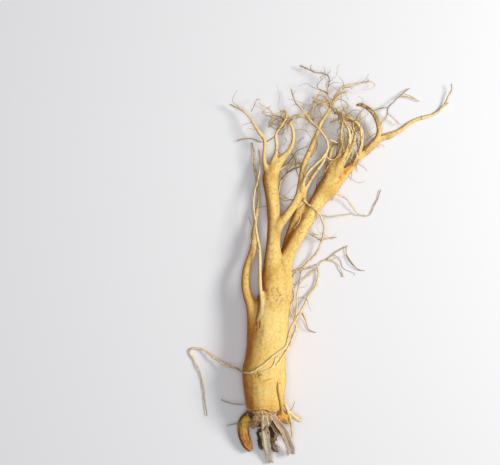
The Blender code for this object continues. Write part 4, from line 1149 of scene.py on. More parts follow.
normals = vectors_of(skin_mesh, "normal")
inward = ((averaged(points, edges, counts) - points) * normals).sum(1)
broad = inward.copy()
for _ in range(FORK_REACH):
    broad = averaged(broad, edges, counts)
# Painted shade and soil: creases and forks, and skin close to a second root, are darkened below.
crease = soft_step(0.006, 0.06, inward)
fork = soft_step(0.004, 0.03, broad) * (1 - neckness)
closeness = bell(np.maximum(gap, 0) - np.minimum(height, 0), CLOSE) * (~at_neck)
# Painted shade: skin that faces left, away from the light from the right, and skin that faces down.
left_flank_shade = soft_step(0.12, 0.95, -normals[:, 0]) * (~at_neck)
left_side_shade = soft_step(0.3, -0.5, normals[:, 0])
under = soft_step(0.1, -0.8, normals[:, 2])
legness = soft_step(4.0, 30.0, points[:, 1])
thinness = soft_step(3.5, 1.4, radius)
print("points in creases:", int((crease > 0.5).sum()), "and in forks:", int((fork > 0.5).sum()))

# %% Colour the body and the legs: the broad tones
blotches = bumps(points, 11.0, 21)
fine_blotches = bumps(points, 3.0, 22)
stipple = bumps(points, 1.1, 23)
long_lines = bumps(np.column_stack([place * 0.1, round_by, kind]), 1.4, 26)
# Gold patches at random, more of them on the left side as painted shade.
gilding = (0.25 + 0.3 * left_side_shade) * soft_step(0.0, 0.6, fine_blotches)
# How much a point faces the light from above and the right; painted shade on the legs' and the side root's
# edges follows it.
flat_light = normals[:, 2] + 0.2 * normals[:, 0]
colours = layered(plain(STRAW, points), [
    (CREAM, 0.74 + 0.8 * blotches + 0.1 * legness),
    # Painted shade in part: gold close to a second root, and ochre on the left side.
    (GOLD, gilding + 0.35 * closeness),
    (OCHRE, (0.08 + 0.3 * left_side_shade) * soft_step(0.1, 0.5, bumps(points, 1.9, 36))),
    (GOLD, 0.32 * soft_step(0.05, 0.5, stipple)),
    (GOLD, 0.25 * soft_step(0.1, 0.6, long_lines)),
    (GOLD, 0.5 * soft_step(-40.0, -56.0, points[:, 1]) * (owner_name == "body")),
    # Painted shade: deep orange and umber on the left flank, ochre on the underside and on steep sides.
    (FLANK, 0.92 * left_flank_shade),
    (OCHRE, 0.4 * under),
    (UMBER, (0.3 + 0.3 * fine_blotches) * soft_step(0.55, 1.0, left_flank_shade)),
    (OCHRE, 0.45 * soft_step(0.45, 0.05, normals[:, 2])),
    # Painted shade and soil in the forks and close to a second root.
    (UMBER, 0.2 * fork + 0.3 * closeness**2),
    (OCHRE, 0.22 * (owner_name == "left_leg")),
    # Painted shade on the legs where they face away from the light.
    (UMBER, 0.4 * legness * soft_step(0.5, 0.1, flat_light)),
    # Painted shade and soil in the creases.
    (UMBER, 0.5 * crease),
])
print("mean colour of the broad tones:", np.round(colours.mean(axis=0), 3))

# %% Colour the body and the legs: thin roots, spots and patches
LEG_PATCH = [(50.0, 106.4), (54.0, 110.6), (58.0, 115.0), (60.4, 118.4)]
LEG_PATCH_WIDTH = 1.7

# Painted shade on thin roots: the sides that face down and away from the light from the right.
thin_root_shade = soft_step(0.62, 0.1, normals[:, 2] + 0.35 * normals[:, 0])
curled_tip = soft_step(0.3, 0.8, book.share[station]) * (owner_name == "curled_root")
leg_spots = soft_step(0.15, 0.5, bumps(points, 1.5, 27))
leg_spots *= legness * (0.35 + 0.65 * soft_step(0.25, -0.5, bumps(points, 14.0, 28)))
puckered = pucker * soft_step(0.0, 0.5, -fine_blotches)
away, _ = from_line(points, LEG_PATCH)
colours = layered(colours, [
    (ROOTLET, 0.3 * thinness),
    # Painted shade along the thin roots' edges.
    (UMBER, 0.55 * thinness * thin_root_shade),
    # Painted light: the front root is paler where it faces up.
    (ROOTLET, 0.4 * (owner_name == "front_root") * soft_step(0.2, 0.7, normals[:, 2])),
    (SOIL, 0.9 * curled_tip * soft_step(-0.7, 0.3, stipple + 0.5 * normals[:, 0])),
    (UMBER, 0.44 * leg_spots),
    (BARK, 0.4 * freckled * soft_step(-0.4, 0.3, stipple)),
    (UMBER, 0.45 * freckles + 0.4 * ring_mark + 0.15 * puckered),
    (OCHRE, 0.75 * bell(away, LEG_PATCH_WIDTH) * soft_step(-0.5, 0.2, fine_blotches)),
    # Painted shade in the troughs of the gathers.
    (UMBER, 0.35 * soft_step(0.1, 0.7, -gathers)),
])
print("mean colour with its spots:", np.round(colours.mean(axis=0), 3))

# %% [markdown]
# ## The side root, the bud and the bark of the neck
#
# The neck is the oldest part. Its bark is rough and pinkish brown, lighter where it stands up and darker
# where it sinks, with specks of dark soil, and painted shade on its sides and where the dry stem and the side
# root keep the light off. The side root next to it has aged to a deep orange with dark lines along it and
# has painted shade along its edges. The bud is golden, with painted shade round it and in its hollows and a
# painted highlight on its lumps. Each gets a full set of colours first, which is then mixed in only where
# that part is, with a soft edge.

# %% Colour the side root and the bud
side_colour = layered(plain(SIDE_ROOT_TONE, points), [
    (SIDE_ROOT_LIGHT, soft_step(-76.0, -66.0, points[:, 1])),
    (UMBER, soft_step(0.05, -0.4, side_lines) * 0.7),
    (UMBER, soft_step(0.0, 0.5, side_grain) * 0.5),
    (CREAM, soft_step(0.1, 0.5, side_lines) * 0.5),
    (UMBER, 0.35 * soft_step(-0.1, 0.5, bumps(points, 2.2, 33))),
    # Painted shade along the side root's edges, which face away from the light.
    (BARK_DARK, 0.9 * soft_step(0.80, 0.30, flat_light)),
])
side_share = on_side_root * soft_step(-11.0, -13.5, points[:, 0] + 0.35 * (points[:, 1] + 61.0))
colours = colours + (side_colour - colours) * (side_share * 0.95)[:, None]
colours = layered(colours, [
    (BUD_TONE, (owner_name == "bud") * 0.8),
    (NUB_TONE, (owner_name == "nub") * 0.9),
    # Painted shade on the bud's and nub's sides and in the hollows between their lumps, and a painted
    # highlight on the lumps.
    (UMBER, on_bud * 0.85 * soft_step(0.75, 0.3, normals[:, 2])),
    (UMBER, on_bud * soft_step(0.0, -0.6, bud_lumps) * 0.85),
    (CREAM, on_bud * soft_step(0.1, 0.6, bud_lumps) * 0.5),
])
print("points on the side root:", int(on_side_root.sum()), "and on the bud and nub:", int(on_bud.sum()))

# %% Colour the bark and finish the skin's colours
# Two places on the neck that the dry stem and the side root keep from the light.
NECK_SHADES = [(-6.2, -66.0), (-11.6, -59.6)]
SHADE_SIZE = 2.6


def sheltered(points):
    """How dark the bark is in the two sheltered places."""
    dark = 0
    for spot in NECK_SHADES:
        dark = dark + bell(np.linalg.norm((points[:, :2] - spot) * (1.1, 0.7), axis=1), SHADE_SIZE)
    return dark * soft_step(0.8, 0.0, bumps(points, 1.4, 38))


# Painted shade at the neck's two sides, by the side root and by the bud.
hollow = soft_step(-9.5, -12.0, points[:, 0]) + soft_step(4.5, 8.0, points[:, 0])
bark_colour = layered(plain(BARK, points), [
    (BARK_LIGHT, soft_step(-0.2, 0.6, bark)),
    (BARK_DARK, soft_step(-0.15, -0.8, bark) * 0.75),
    # Painted shade at the neck's sides.
    (BARK_DARK, 0.8 * hollow * soft_step(0.7, -0.1, bumps(points, 3.5, 29))),
    (SOIL, 0.8 * soft_step(0.2, 0.5, bumps(points * (1.0, 0.6, 1.0), 1.0, 37))),
    (BARK_DARK, sheltered(points)),
    # Painted shade on the bark's steep sides.
    (BARK_DARK, 0.45 * soft_step(0.6, 0.1, normals[:, 2])),
])
barked = np.maximum(neckness, on_side_root * (1 - side_share))
colours = colours + (bark_colour - colours) * barked[:, None]
colours = mixed(colours, BARK_DARK, np.clip(fold * 0.8 + scar * 0.7 + edge_groove * 0.8, 0, 1))
colours = mixed(colours, UMBER, dirt * 0.7)
give_colour(skin_mesh, colours)
print("mean colour:", np.round(colours.mean(axis=0), 3))

# %% [markdown]
# ## Nothing grows straight
#
# Stems and rootlets are never smooth curves. Their bends could be drawn by hand, but noise does it faster
# and doesn't repeat. This helper gives a route two sizes of wiggle and lets its radius swell and thin along
# the way. The bends start from nothing, so the root still leaves its parent where its route says.

# %% A helper that makes a route wander
BEND_LENGTH = 6.5


def wiggled(rows, seed, amount):
    """The same route with small bends that grow from nothing at its start."""
    _, across, up = frames_along(rows[:, :3])
    places = distance_along(rows)
    fade = soft_step(0.0, 5.0, places) * amount
    way = np.column_stack([places / BEND_LENGTH, np.full(len(rows), seed * 3.1), np.zeros(len(rows))])
    out = rows.copy()
    sideways = bumps(way, 1.0, 61) + 0.35 * bumps(way * (2.8, 1, 1), 1.0, 62)
    upwards = bumps(way, 1.0, 63) + 0.35 * bumps(way * (2.8, 1, 1), 1.0, 64)
    out[:, :3] += across * (sideways * fade)[:, None] + up * (upwards * fade)[:, None]
    knots = 1 + 0.22 * bumps(way * (2.2, 1, 1), 1.0, 65) + 0.1 * bumps(way * (6, 1, 1), 1.0, 66)
    out[:, 3] *= 1 + (knots - 1) * soft_step(0.0, 8.0, places)
    return out


# %% [markdown]
# ## Resting on the skin
#
# A thin root that crosses the body should lie on it, neither in it nor above it. Blender's Shrinkwrap could
# press a whole mesh onto the skin, but it would flatten the tube. So the route is moved before it is made
# into a tube: a ray sent straight down from above it finds the skin. Where the skin is close, the route is
# moved to just above it, and the moves are then smoothed, so that the root doesn't jump where it leaves the
# skin.

# %% A helper that lays a route on the skin
skin_faces = [tuple(face.vertices) for face in skin_mesh.polygons]
skin_tree = BVHTree.FromPolygons(vectors_of(skin_mesh, "co").tolist(), skin_faces)
RAY_START = 60.0


def laid_on_skin(rows, reach, sink=0.7):
    """The same route, but where it passes within `reach` of the skin below it, it rests on the skin."""
    shift = np.zeros((len(rows), 3))
    for number, row in enumerate(rows):
        hit, normal, _, _ = skin_tree.ray_cast(Vector((row[0], row[1], RAY_START)), Vector((0, 0, -1)))
        if hit is not None and abs(hit.z - row[2]) < reach:
            shift[number] = np.array(hit + normal * (sink * row[3])) - row[:3]
    for _ in range(2):
        shift[1:-1] = (shift[:-2] + 2 * shift[1:-1] + shift[2:]) / 4
    out = rows.copy()
    out[:, :3] += shift
    return out


print("faces that can carry a thin root:", len(skin_faces))

# %% [markdown]
# ## The dry stems
#
# A stem is a hollow stalk of tough fibres. When it dies, it dries grey, splits open and breaks off a few
# centimetres from the neck. A flat strip would look like paper from the side. Each stub is made as a
# shallow open trough whose two skins carry long fibres, with its broken end torn into teeth. Slivers that
# have split away are thin tubes with flattened sides, and short loose fibres lie in the troughs.

# %% A helper for the stems' troughs
def long_fibres(place, share_round, seed):
    """Heights of fibres that run along a stem: noise stretched along it and tight across it."""
    where = np.column_stack([place * 0.05, share_round * 9.0, np.zeros_like(share_round)])
    return bumps(where, 1.0, seed) + 0.5 * bumps(where * (1.6, 2.3, 1.0), 1.0, seed + 1)


# The arc of the trough in degrees, its wall, how many points lie across it, and its fibres' heights.
STRAP_ARC = (205, 335)
STRAP_WALL = 1.3
STRAP_POINTS = 40
OUTER_FIBRES = 0.24
INNER_FIBRES = 0.34


def strap(route, seed, ragged):
    """Points, faces and a shade for each point, of a shallow trough of long fibres with a torn end."""
    rows = smooth_route(route, 0.5)
    tangents, across, up = frames_along(rows[:, :3])
    angles = np.radians(np.linspace(*STRAP_ARC, STRAP_POINTS))
    share_round = np.linspace(0, 1, STRAP_POINTS)
    places = distance_along(rows)
    teeth = [ragged * (0.5 + 0.9 * noise.noise(Vector((share * 8.0, seed, 0.0)))) for share in share_round]
    teeth = np.clip(teeth, 0, ragged)
    rim = 0.35 + 0.65 * np.sin(np.pi * share_round) ** 0.4
    rings, shades = [], []
    for number, row in enumerate(rows):
        place = np.full(STRAP_POINTS, places[number])
        fibre = long_fibres(place, share_round, seed)
        inner_fibre = long_fibres(place, share_round, seed + 5)
        outer = row[3] - 0.15 + OUTER_FIBRES * fibre
        inner = outer - STRAP_WALL * rim + INNER_FIBRES * inner_fibre
        spokes = np.cos(angles)[:, None] * across[number] + np.sin(angles)[:, None] * up[number]
        pulled = np.minimum(places[number], places[-1] - teeth) - places[number]
        centre = row[:3] + pulled[:, None] * tangents[number]
        outside = centre + outer[:, None] * spokes
        inside = centre + inner[:, None] * spokes
        rings.append(np.vstack([outside, inside[::-1]]))
        shades.append(np.concatenate([fibre, inner_fibre[::-1]]))
    return np.vstack(rings), bridged(len(rows), 2 * STRAP_POINTS), np.concatenate(shades)


# %% A helper for slivers
SLIVER_STEP = 0.4


def splinter(route, seed, flatness=0.5):
    """A torn sliver of stem, flat-sided and fibrous, with jagged sides and a sharp tip."""
    rows = wiggled(smooth_route(route, SLIVER_STEP), seed, 0.3)
    count = np.arange(len(rows))
    steps = np.outer(count * SLIVER_STEP, (1, 0, 0)) + (0, seed, 0)
    jags = 1 + 0.55 * bumps(steps, 1.4, 45) + 0.5 * bumps(steps, 0.6, 46)
    to_tip = count[::-1] * SLIVER_STEP
    rows[:, 3] *= np.clip(jags, 0.45, 1.6) * (0.25 + 0.75 * soft_step(0.0, 3.0, to_tip))
    shade_rows = []

    def flats(rows, angles):
        """Two flat sides with long fibres, whose heights are kept as the sliver's shades."""
        round_share = angles / 6.3
        places = [np.full(len(angles), 0.5 * number) for number in range(len(rows))]
        shade_rows.append(np.array([long_fibres(place, round_share, seed) for place in places]))
        return flatness * np.cos(2 * angles)[None] + 0.26 * shade_rows[0]

    points, faces = tube(rows, 12, flats)
    shades = np.concatenate([shade_rows[0].ravel(), np.zeros(len(points) - shade_rows[0].size)])
    return points, faces, shades


# %% A helper for loose fibres
# Their lengths in steps along the strap, and their radii.
LOOSE_STEP = 0.6
LOOSE_LENGTHS = (6, 18)
LOOSE_RADII = (0.13, 0.3)


def frayed(route, picker, count):
    """Loose fibres in the hollow of a strap, some of which stick out past its rim or its torn end."""
    rows = smooth_route(route, LOOSE_STEP)
    _, across, up = frames_along(rows[:, :3])
    shells = []
    for _ in range(count):
        start = picker.randrange(2, len(rows) - LOOSE_LENGTHS[0])
        length = picker.randrange(*LOOSE_LENGTHS)
        angle = math.radians(picker.uniform(STRAP_ARC[0] + 4, STRAP_ARC[1] - 4))
        lift = picker.uniform(0.0, 0.07)
        drift = picker.uniform(-0.05, 0.05)
        radius = picker.uniform(*LOOSE_RADII)
        route_points = []
        for step in range(min(length, len(rows) - start)):
            row = start + step
            depth = rows[row, 3] - STRAP_WALL * 0.9 - lift * step
            turn = angle + drift * step
            spoke = across[row] * math.cos(turn) + up[row] * math.sin(turn)
            place = rows[row, :3] + spoke * depth
            route_points.append((*place, radius * (1 - 0.5 * step / length)))
        if len(route_points) > 3:
            points, faces = tube(np.array(route_points), 6)
            shells.append((points, faces, np.full(len(points), picker.uniform(-0.6, 0.7))))
    return shells


# %% [markdown]
# ## The web between the stems
#
# Between the two stubs hangs a web of torn fibres, some pale and some nearly black with age. One tube would
# look like a stick there, so each listed strand is made three times, each time a little to one side,
# lower or thicker. The overlaps and the gaps between them make the web look torn.

# %% Routes and a helper for the web
BUNDLE = 3
WEB_STRANDS = [
    [(0.6, -64.0, 19.2, 0.5), (3.0, -67.6, 17.8, 0.6), (5.2, -70.8, 15.8, 0.55), (7.4, -73.4, 13.8, 0.35)],
    [(0.4, -65.0, 18.4, 0.5), (1.6, -68.6, 16.9, 0.6), (2.8, -72.0, 14.8, 0.55), (3.6, -74.8, 12.8, 0.3)],
    [(1.6, -66.6, 17.8, 0.5), (3.4, -70.0, 16.0, 0.6), (4.9, -72.6, 14.0, 0.5), (5.9, -74.0, 12.6, 0.35)],
    [(0.2, -67.4, 16.8, 0.55), (1.9, -70.4, 15.4, 0.5), (3.6, -73.4, 13.4, 0.4), (4.6, -76.2, 11.4, 0.25)],
    [(2.8, -68.6, 16.6, 0.45), (2.4, -71.4, 14.8, 0.5), (1.4, -74.0, 12.6, 0.4), (0.8, -76.6, 11.0, 0.3)],
    [(4.4, -69.6, 16.0, 0.4), (5.6, -72.4, 14.0, 0.45), (5.2, -75.4, 11.8, 0.35), (6.0, -77.6, 10.0, 0.2)],
    [(0.9, -64.6, 18.6, 0.45), (-1.2, -67.0, 18.2, 0.5), (-2.8, -68.8, 17.6, 0.4), (-3.6, -70.2, 16.6, 0.25)],
    [(2.4, -62.4, 20.6, 0.45), (4.4, -66.4, 19.0, 0.5), (7.0, -70.2, 17.0, 0.45), (9.4, -73.4, 14.8, 0.3)],
]


def web_strands(route, picker):
    """A bundle of torn fibres of the web between the stems, all from one route."""
    shells = []
    for _ in range(BUNDLE):
        rows = smooth_route(route, 0.5)
        rows[:, 0] += picker.uniform(-0.9, 0.9)
        rows[:, 2] -= picker.uniform(0.0, 1.2)
        rows[:, 3] *= picker.uniform(0.8, 1.4)
        rows = wiggled(rows, picker.randrange(1, 90), 0.6)
        points, faces = tube(rows, 7)
        shells.append((points, faces, np.full(len(points), picker.uniform(-0.3, 0.2))))
    return shells


# %% A helper that colours a dry stem
STEM_TAN = linear(252, 228, 184)
STEM_PINK = linear(230, 194, 164)
STEM_GREY = linear(212, 206, 196)
STEM_GREEN = linear(204, 194, 136)
STEM_BROWN = linear(104, 76, 50)
STEM_PALE = linear(238, 226, 206)
SPLINTER_TONES = [linear(66, 55, 32), linear(112, 84, 58)]
WEB_TONES = [linear(44, 30, 20), linear(70, 48, 32), linear(168, 132, 96), linear(214, 186, 148)]


def dry_stem(name, node, shells, base, own_tones=()):
    """One dry stem from its strap, splinters and loose fibres, with its fibres' shades as its colours."""
    points, faces = joined([shell[:2] for shell in shells])
    shades = np.concatenate([shell[2] for shell in shells])
    points = kept_in_box(points)
    mesh = mesh_from(name, points, faces)
    down = soft_step(-64.0, -90.0, points[:, 1])
    green = soft_step(-0.1, 0.5, bumps(points * (1, 0.3, 1), 3.0, 31)) * bell(down - 0.45, 0.35)
    colours = layered(plain(base, points), [(STEM_GREY, 0.8 * down), (STEM_GREEN, 0.6 * green)])
    first = len(shells[0][0])
    for shell, tone in zip(shells[1:], own_tones):
        colours[first : first + len(shell[0])] = tone
        first += len(shell[0])
    streaks = bumps(points * (1.0, 0.08, 1.0), 0.55, 32)
    colours = layered(colours, [
        (STEM_BROWN, soft_step(0.0, -0.6, shades) * 0.55),
        (STEM_BROWN, soft_step(0.15, 0.5, streaks) * 0.4),
        (STEM_PALE, soft_step(0.1, 0.7, shades) * 0.85 * (0.6 + 0.4 * down)),
    ])
    give_colour(mesh, colours)
    mesh.transform(Matrix.Scale(MM, 4))
    made = object_from(name, mesh)
    mesh.shade_smooth()
    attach(made, "root")
    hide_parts(node)
    print(name, len(mesh.polygons), "faces")
    return made


# %% Make the dry stems
LOOSE_FIBRES = 26
MIDDLE_TEETH = 2.2
RIGHT_TEETH = 1.6

picker = random.Random(19)
middle_shells = [strap(STEMS["dry_stem_middle"], 41, MIDDLE_TEETH)]
for number, route in enumerate(SPLINTERS.values()):
    middle_shells.append(splinter(route, 50 + number))
for route in WEB_STRANDS:
    middle_shells += web_strands(route, picker)
web_count = len(WEB_STRANDS) * BUNDLE
own_tones = SPLINTER_TONES + [picker.choice(WEB_TONES) for _ in range(web_count)]
middle_shells += frayed(STEMS["dry_stem_middle"], picker, LOOSE_FIBRES)
right_shells = [strap(STEMS["dry_stem_right"], 44, RIGHT_TEETH)]
right_shells += frayed(STEMS["dry_stem_right"], picker, LOOSE_FIBRES)
stem_middle = dry_stem("stem_stub_middle", "dry_stem_middle", middle_shells, STEM_TAN, own_tones)
stem_right = dry_stem("stem_stub_right", "dry_stem_right", right_shells, STEM_PINK)

# %% [markdown]
# ## Old fibres on the neck
#
# Where stems died in earlier years, the neck keeps their torn fibres. They fan out from under the dry stubs
# over the bark. Drawn in three dimensions, many would hang above it or sink in. Their routes are only drawn
# as seen from above: a ray sent straight down at each point finds the bark, and the fibre is laid on it
# there. A fibre that would jump over an edge is left out.

# %% Routes of the neck's fibres
NECK_STRANDS = [
    [(-4.2, -56.0, 22, 0.55), (-3.9, -61.6, 20, 0.6), (-4.4, -67.2, 16, 0.5), (-4.2, -72.0, 12, 0.3)],
    [(-2.8, -55.3, 22, 0.5), (0.0, -58.8, 21, 0.6), (2.1, -62.3, 19, 0.55), (4.9, -65.8, 16, 0.4)],
    [(0.7, -61.0, 19, 0.5), (1.2, -65.1, 17, 0.55), (2.2, -68.4, 14, 0.5), (3.4, -71.6, 12, 0.3)],
    [(0.0, -56.4, 21, 0.5), (3.2, -59.2, 20, 0.55), (6.3, -62.4, 17, 0.5), (8.8, -66.0, 13, 0.3)],
    [(0.3, -64.2, 17, 0.35), (4.2, -65.8, 16, 0.4), (2.1, -70.0, 13, 0.3)],
]
FIBRE_COUNT = 90


def neck_fibre(picker):
    """A route from the top of the neck down and outwards, for the bark to carry."""
    lean = picker.uniform(-0.5, 1.2)
    start_x = -1.6 + 8.0 * math.sin(lean) * 0.8
    start_y = picker.uniform(-55.4, -64.0)
    length = picker.uniform(2.5, 8.0)
    route = []
    for step in range(5):
        share = step / 4
        x = start_x + 0.45 * length * share * math.sin(lean) + picker.uniform(-0.35, 0.35)
        route.append((x, start_y - length * share, 18.0, 0.3 * (1 - 0.7 * share) * picker.uniform(0.6, 1.2)))
    return route


picker = random.Random(23)
strand_routes = NECK_STRANDS + [neck_fibre(picker) for _ in range(FIBRE_COUNT)]
print("routes of the neck's fibres:", len(strand_routes))

# %% Make the neck's fibres
FIBRE_REACH = 14.0
FIBRE_SINK = 0.3
LONGEST_STEP = 1.6

shells = []
for route in strand_routes:
    rows = laid_on_skin(smooth_route(route, 0.5), FIBRE_REACH, FIBRE_SINK)
    steps = np.linalg.norm(np.diff(rows[:, :3], axis=0), axis=1)
    if steps.max() < LONGEST_STEP:
        shells.append(tube(rows, 7))
points, faces = joined(shells)
fibre_mesh = mesh_from("neck_fibres", kept_in_box(points), faces)
points = vectors_of(fibre_mesh, "co")
give_colour(fibre_mesh, layered(plain(BARK, points), [
    (BARK_LIGHT, 0.5 + 0.9 * bumps(points, 1.6, 24)),
    (SOIL, soft_step(0.1, 0.5, bumps(points, 2.0, 25)) * 0.85),
    (UMBER, soft_step(0.1, 0.5, bumps(points, 0.9, 39)) * 0.6),
    (BARK_DARK, sheltered(points)),
]))
print("neck fibres:", len(shells))

# %% [markdown]
# ## Branch roots and rootlets
#
# A branch root is a leg in small, and a rootlet a thread a millimetre or two thick. Below a certain
# thickness a root needs no shared skin, which would take very many faces: a tube that starts deep inside
# its parent looks grown on. Roots that lie in the open are pale cream, with a painted highlight on top and
# painted shade along the edges that face away from the light, while old ones and those in the soil's upper
# layer are grey or nearly black. So each root has a tone of its own, and three lists name the ones whose
# tone can be seen in the photograph.

# %% A helper that thins a route, and the roots with a tone of their own
PALE_ROOTLETS = (
    "over_body_long", "over_body_middle", "over_body_short", "left_rootlet", "right_rootlet", "front_root",
    "bud_rootlet", "bud_rootlet_fork",
)
GREY_ROOTLETS = ("far_rootlet", "curl_rootlet", "neck_rootlet", "side_rootlet")
DARK_ROOTLETS = ("curled_root",)
PALE_TONE = 0.15


def thinned(rows, share, run):
    """The same route, whose radius eases from all of its width at the start to a share of it."""
    out = rows.copy()
    out[:, 3] *= 1 - (1 - share) * soft_step(0.0, run, distance_along(rows))
    return out


# %% A helper that makes the tubes of many thin roots
# How close to the skin a thin root has to be to lie on it, and the rings over which it leaves its parent.
SKIN_REACH = 2.4
GROWN_RINGS = (4.0, 18.0)


def thin_tubes(routes, sides, wiggle, on_skin):
    """The tubes, and for each of their points its share of the way, radius, growth, tone, grey and dark."""
    shells, notes = [], []
    picker = random.Random(29)
    for number, (name, rows) in enumerate(routes.items()):
        rows = wiggled(rows, number + 1, wiggle)
        if on_skin:
            rows = laid_on_skin(rows, SKIN_REACH)
        shells.append(tube(rows, sides))
        ring = np.arange(len(shells[-1][0]) // sides)
        last = len(rows) - 1
        tone = picker.random()
        note = np.empty((len(ring), 6))
        note[:, 0] = np.minimum(ring / last, 1)
        note[:, 1] = rows[np.minimum(ring, last), 3]
        note[:, 2] = soft_step(*GROWN_RINGS, ring)
        note[:, 3] = PALE_TONE if name in PALE_ROOTLETS else tone
        note[:, 4] = name in GREY_ROOTLETS
        note[:, 5] = name in DARK_ROOTLETS
        notes.append(np.repeat(note, sides, axis=0))
    return shells, np.concatenate(notes).T


# %% A helper that makes them into one coloured piece
def rootlet_piece(name, routes, sides, wiggle):
    """Many thin roots as one piece, each with its own tone, browner at its tip, painted shade below."""
    branches = name.startswith("branch")
    shells, notes = thin_tubes(routes, sides, wiggle, on_skin=not branches)
    share, width, grown, tone, grey, dark = notes
    points, faces = joined(shells)
    points = kept_in_box(points)
    mesh = mesh_from(name, points, faces)
    facing = vectors_of(mesh, "normal")
    # How much a point faces the light from above and the right, which the painted highlight and shade follow.
    lit = facing[:, 2] + 0.45 * facing[:, 0] - 0.3 * facing[:, 1]
    colours = layered(plain(ROOTLET, points), [
        (GOLD, 0.6 * tone**1.5 + 0.4 * soft_step(-0.1, 0.5, bumps(points, 4.0, 71))),
        (ROOTLET_TIP, 0.8 * soft_step(0.6, 1.0, share) * soft_step(0.7, 0.35, width)),
        (UMBER, (0.4 + 0.35 * tone) * soft_step(0.0, 0.45, bumps(points, 1.5, 72))),
    ])
    if branches:
        skin_tone = mixed(plain(STRAW, points), ROOTLET, np.full(len(points), 0.5))
        colours = mixed(skin_tone, colours, grown)
    colours = layered(colours, [
        (SOIL, 0.85 * dark * soft_step(-0.6, 0.3, bumps(points, 1.1, 74))),
        # Painted highlight on the lit side and painted shade on the sides that face away.
        (ROOTLET_HIGHLIGHT, 0.35 * soft_step(0.7, 1.0, lit)),
        (ROOTLET_SHADE, (0.6 + 0.2 * tone) * soft_step(0.6, 0.1, lit)),
        (ROOTLET_GREY, 0.8 * grey * soft_step(0.1, 0.5, share)),
    ])
    give_colour(mesh, colours)
    print(name, len(routes), "roots,", len(mesh.polygons), "faces")
    return mesh


# %% Make the branch roots and rootlets
# A branch root's tube starts a few stations back, inside the part of it that the skin covers.
OVERLAP = 5
BRANCH_SIDES = 12
ROOTLET_SIDES = 9

branch_routes = {}
for name, route in BRANCHES.items():
    rows = smooth_route(route, BRANCH_SPACING)
    if name in thick_routes:
        rows = rows[len(thick_routes[name]) - OVERLAP :]
    if len(rows) > 3:
        branch_routes[name] = thinned(rows, 0.82, 12.0)
rootlet_routes = {}
for name, route in FIBRES.items():
    rootlet_routes[name] = smooth_route(route, 1.0)
    if not name.startswith(("bud", "over_body")):
        rootlet_routes[name] = thinned(rootlet_routes[name], 0.74, 4.0)
for number, route in enumerate(TANGLE_STRANDS):
    rootlet_routes[f"tangle_strand_{number}"] = smooth_route(route, 1.0)
branch_mesh = rootlet_piece("branch_roots", branch_routes, BRANCH_SIDES, 0.4)
rootlet_mesh = rootlet_piece("rootlets", rootlet_routes, ROOTLET_SIDES, 0.6)

# %% [markdown]
# ## The finest hairs
#
# Hair roots are what makes a dug root look alive. They are too many and too small to place by hand.
# Blender's hair system could comb them, but hairs of that kind have no faces of their own. So they are
# grown as tubes: each starts inside a rootlet, heads out square to it and turns a little at every step, as
# a growing tip does. The few that stand out by themselves have their own routes.

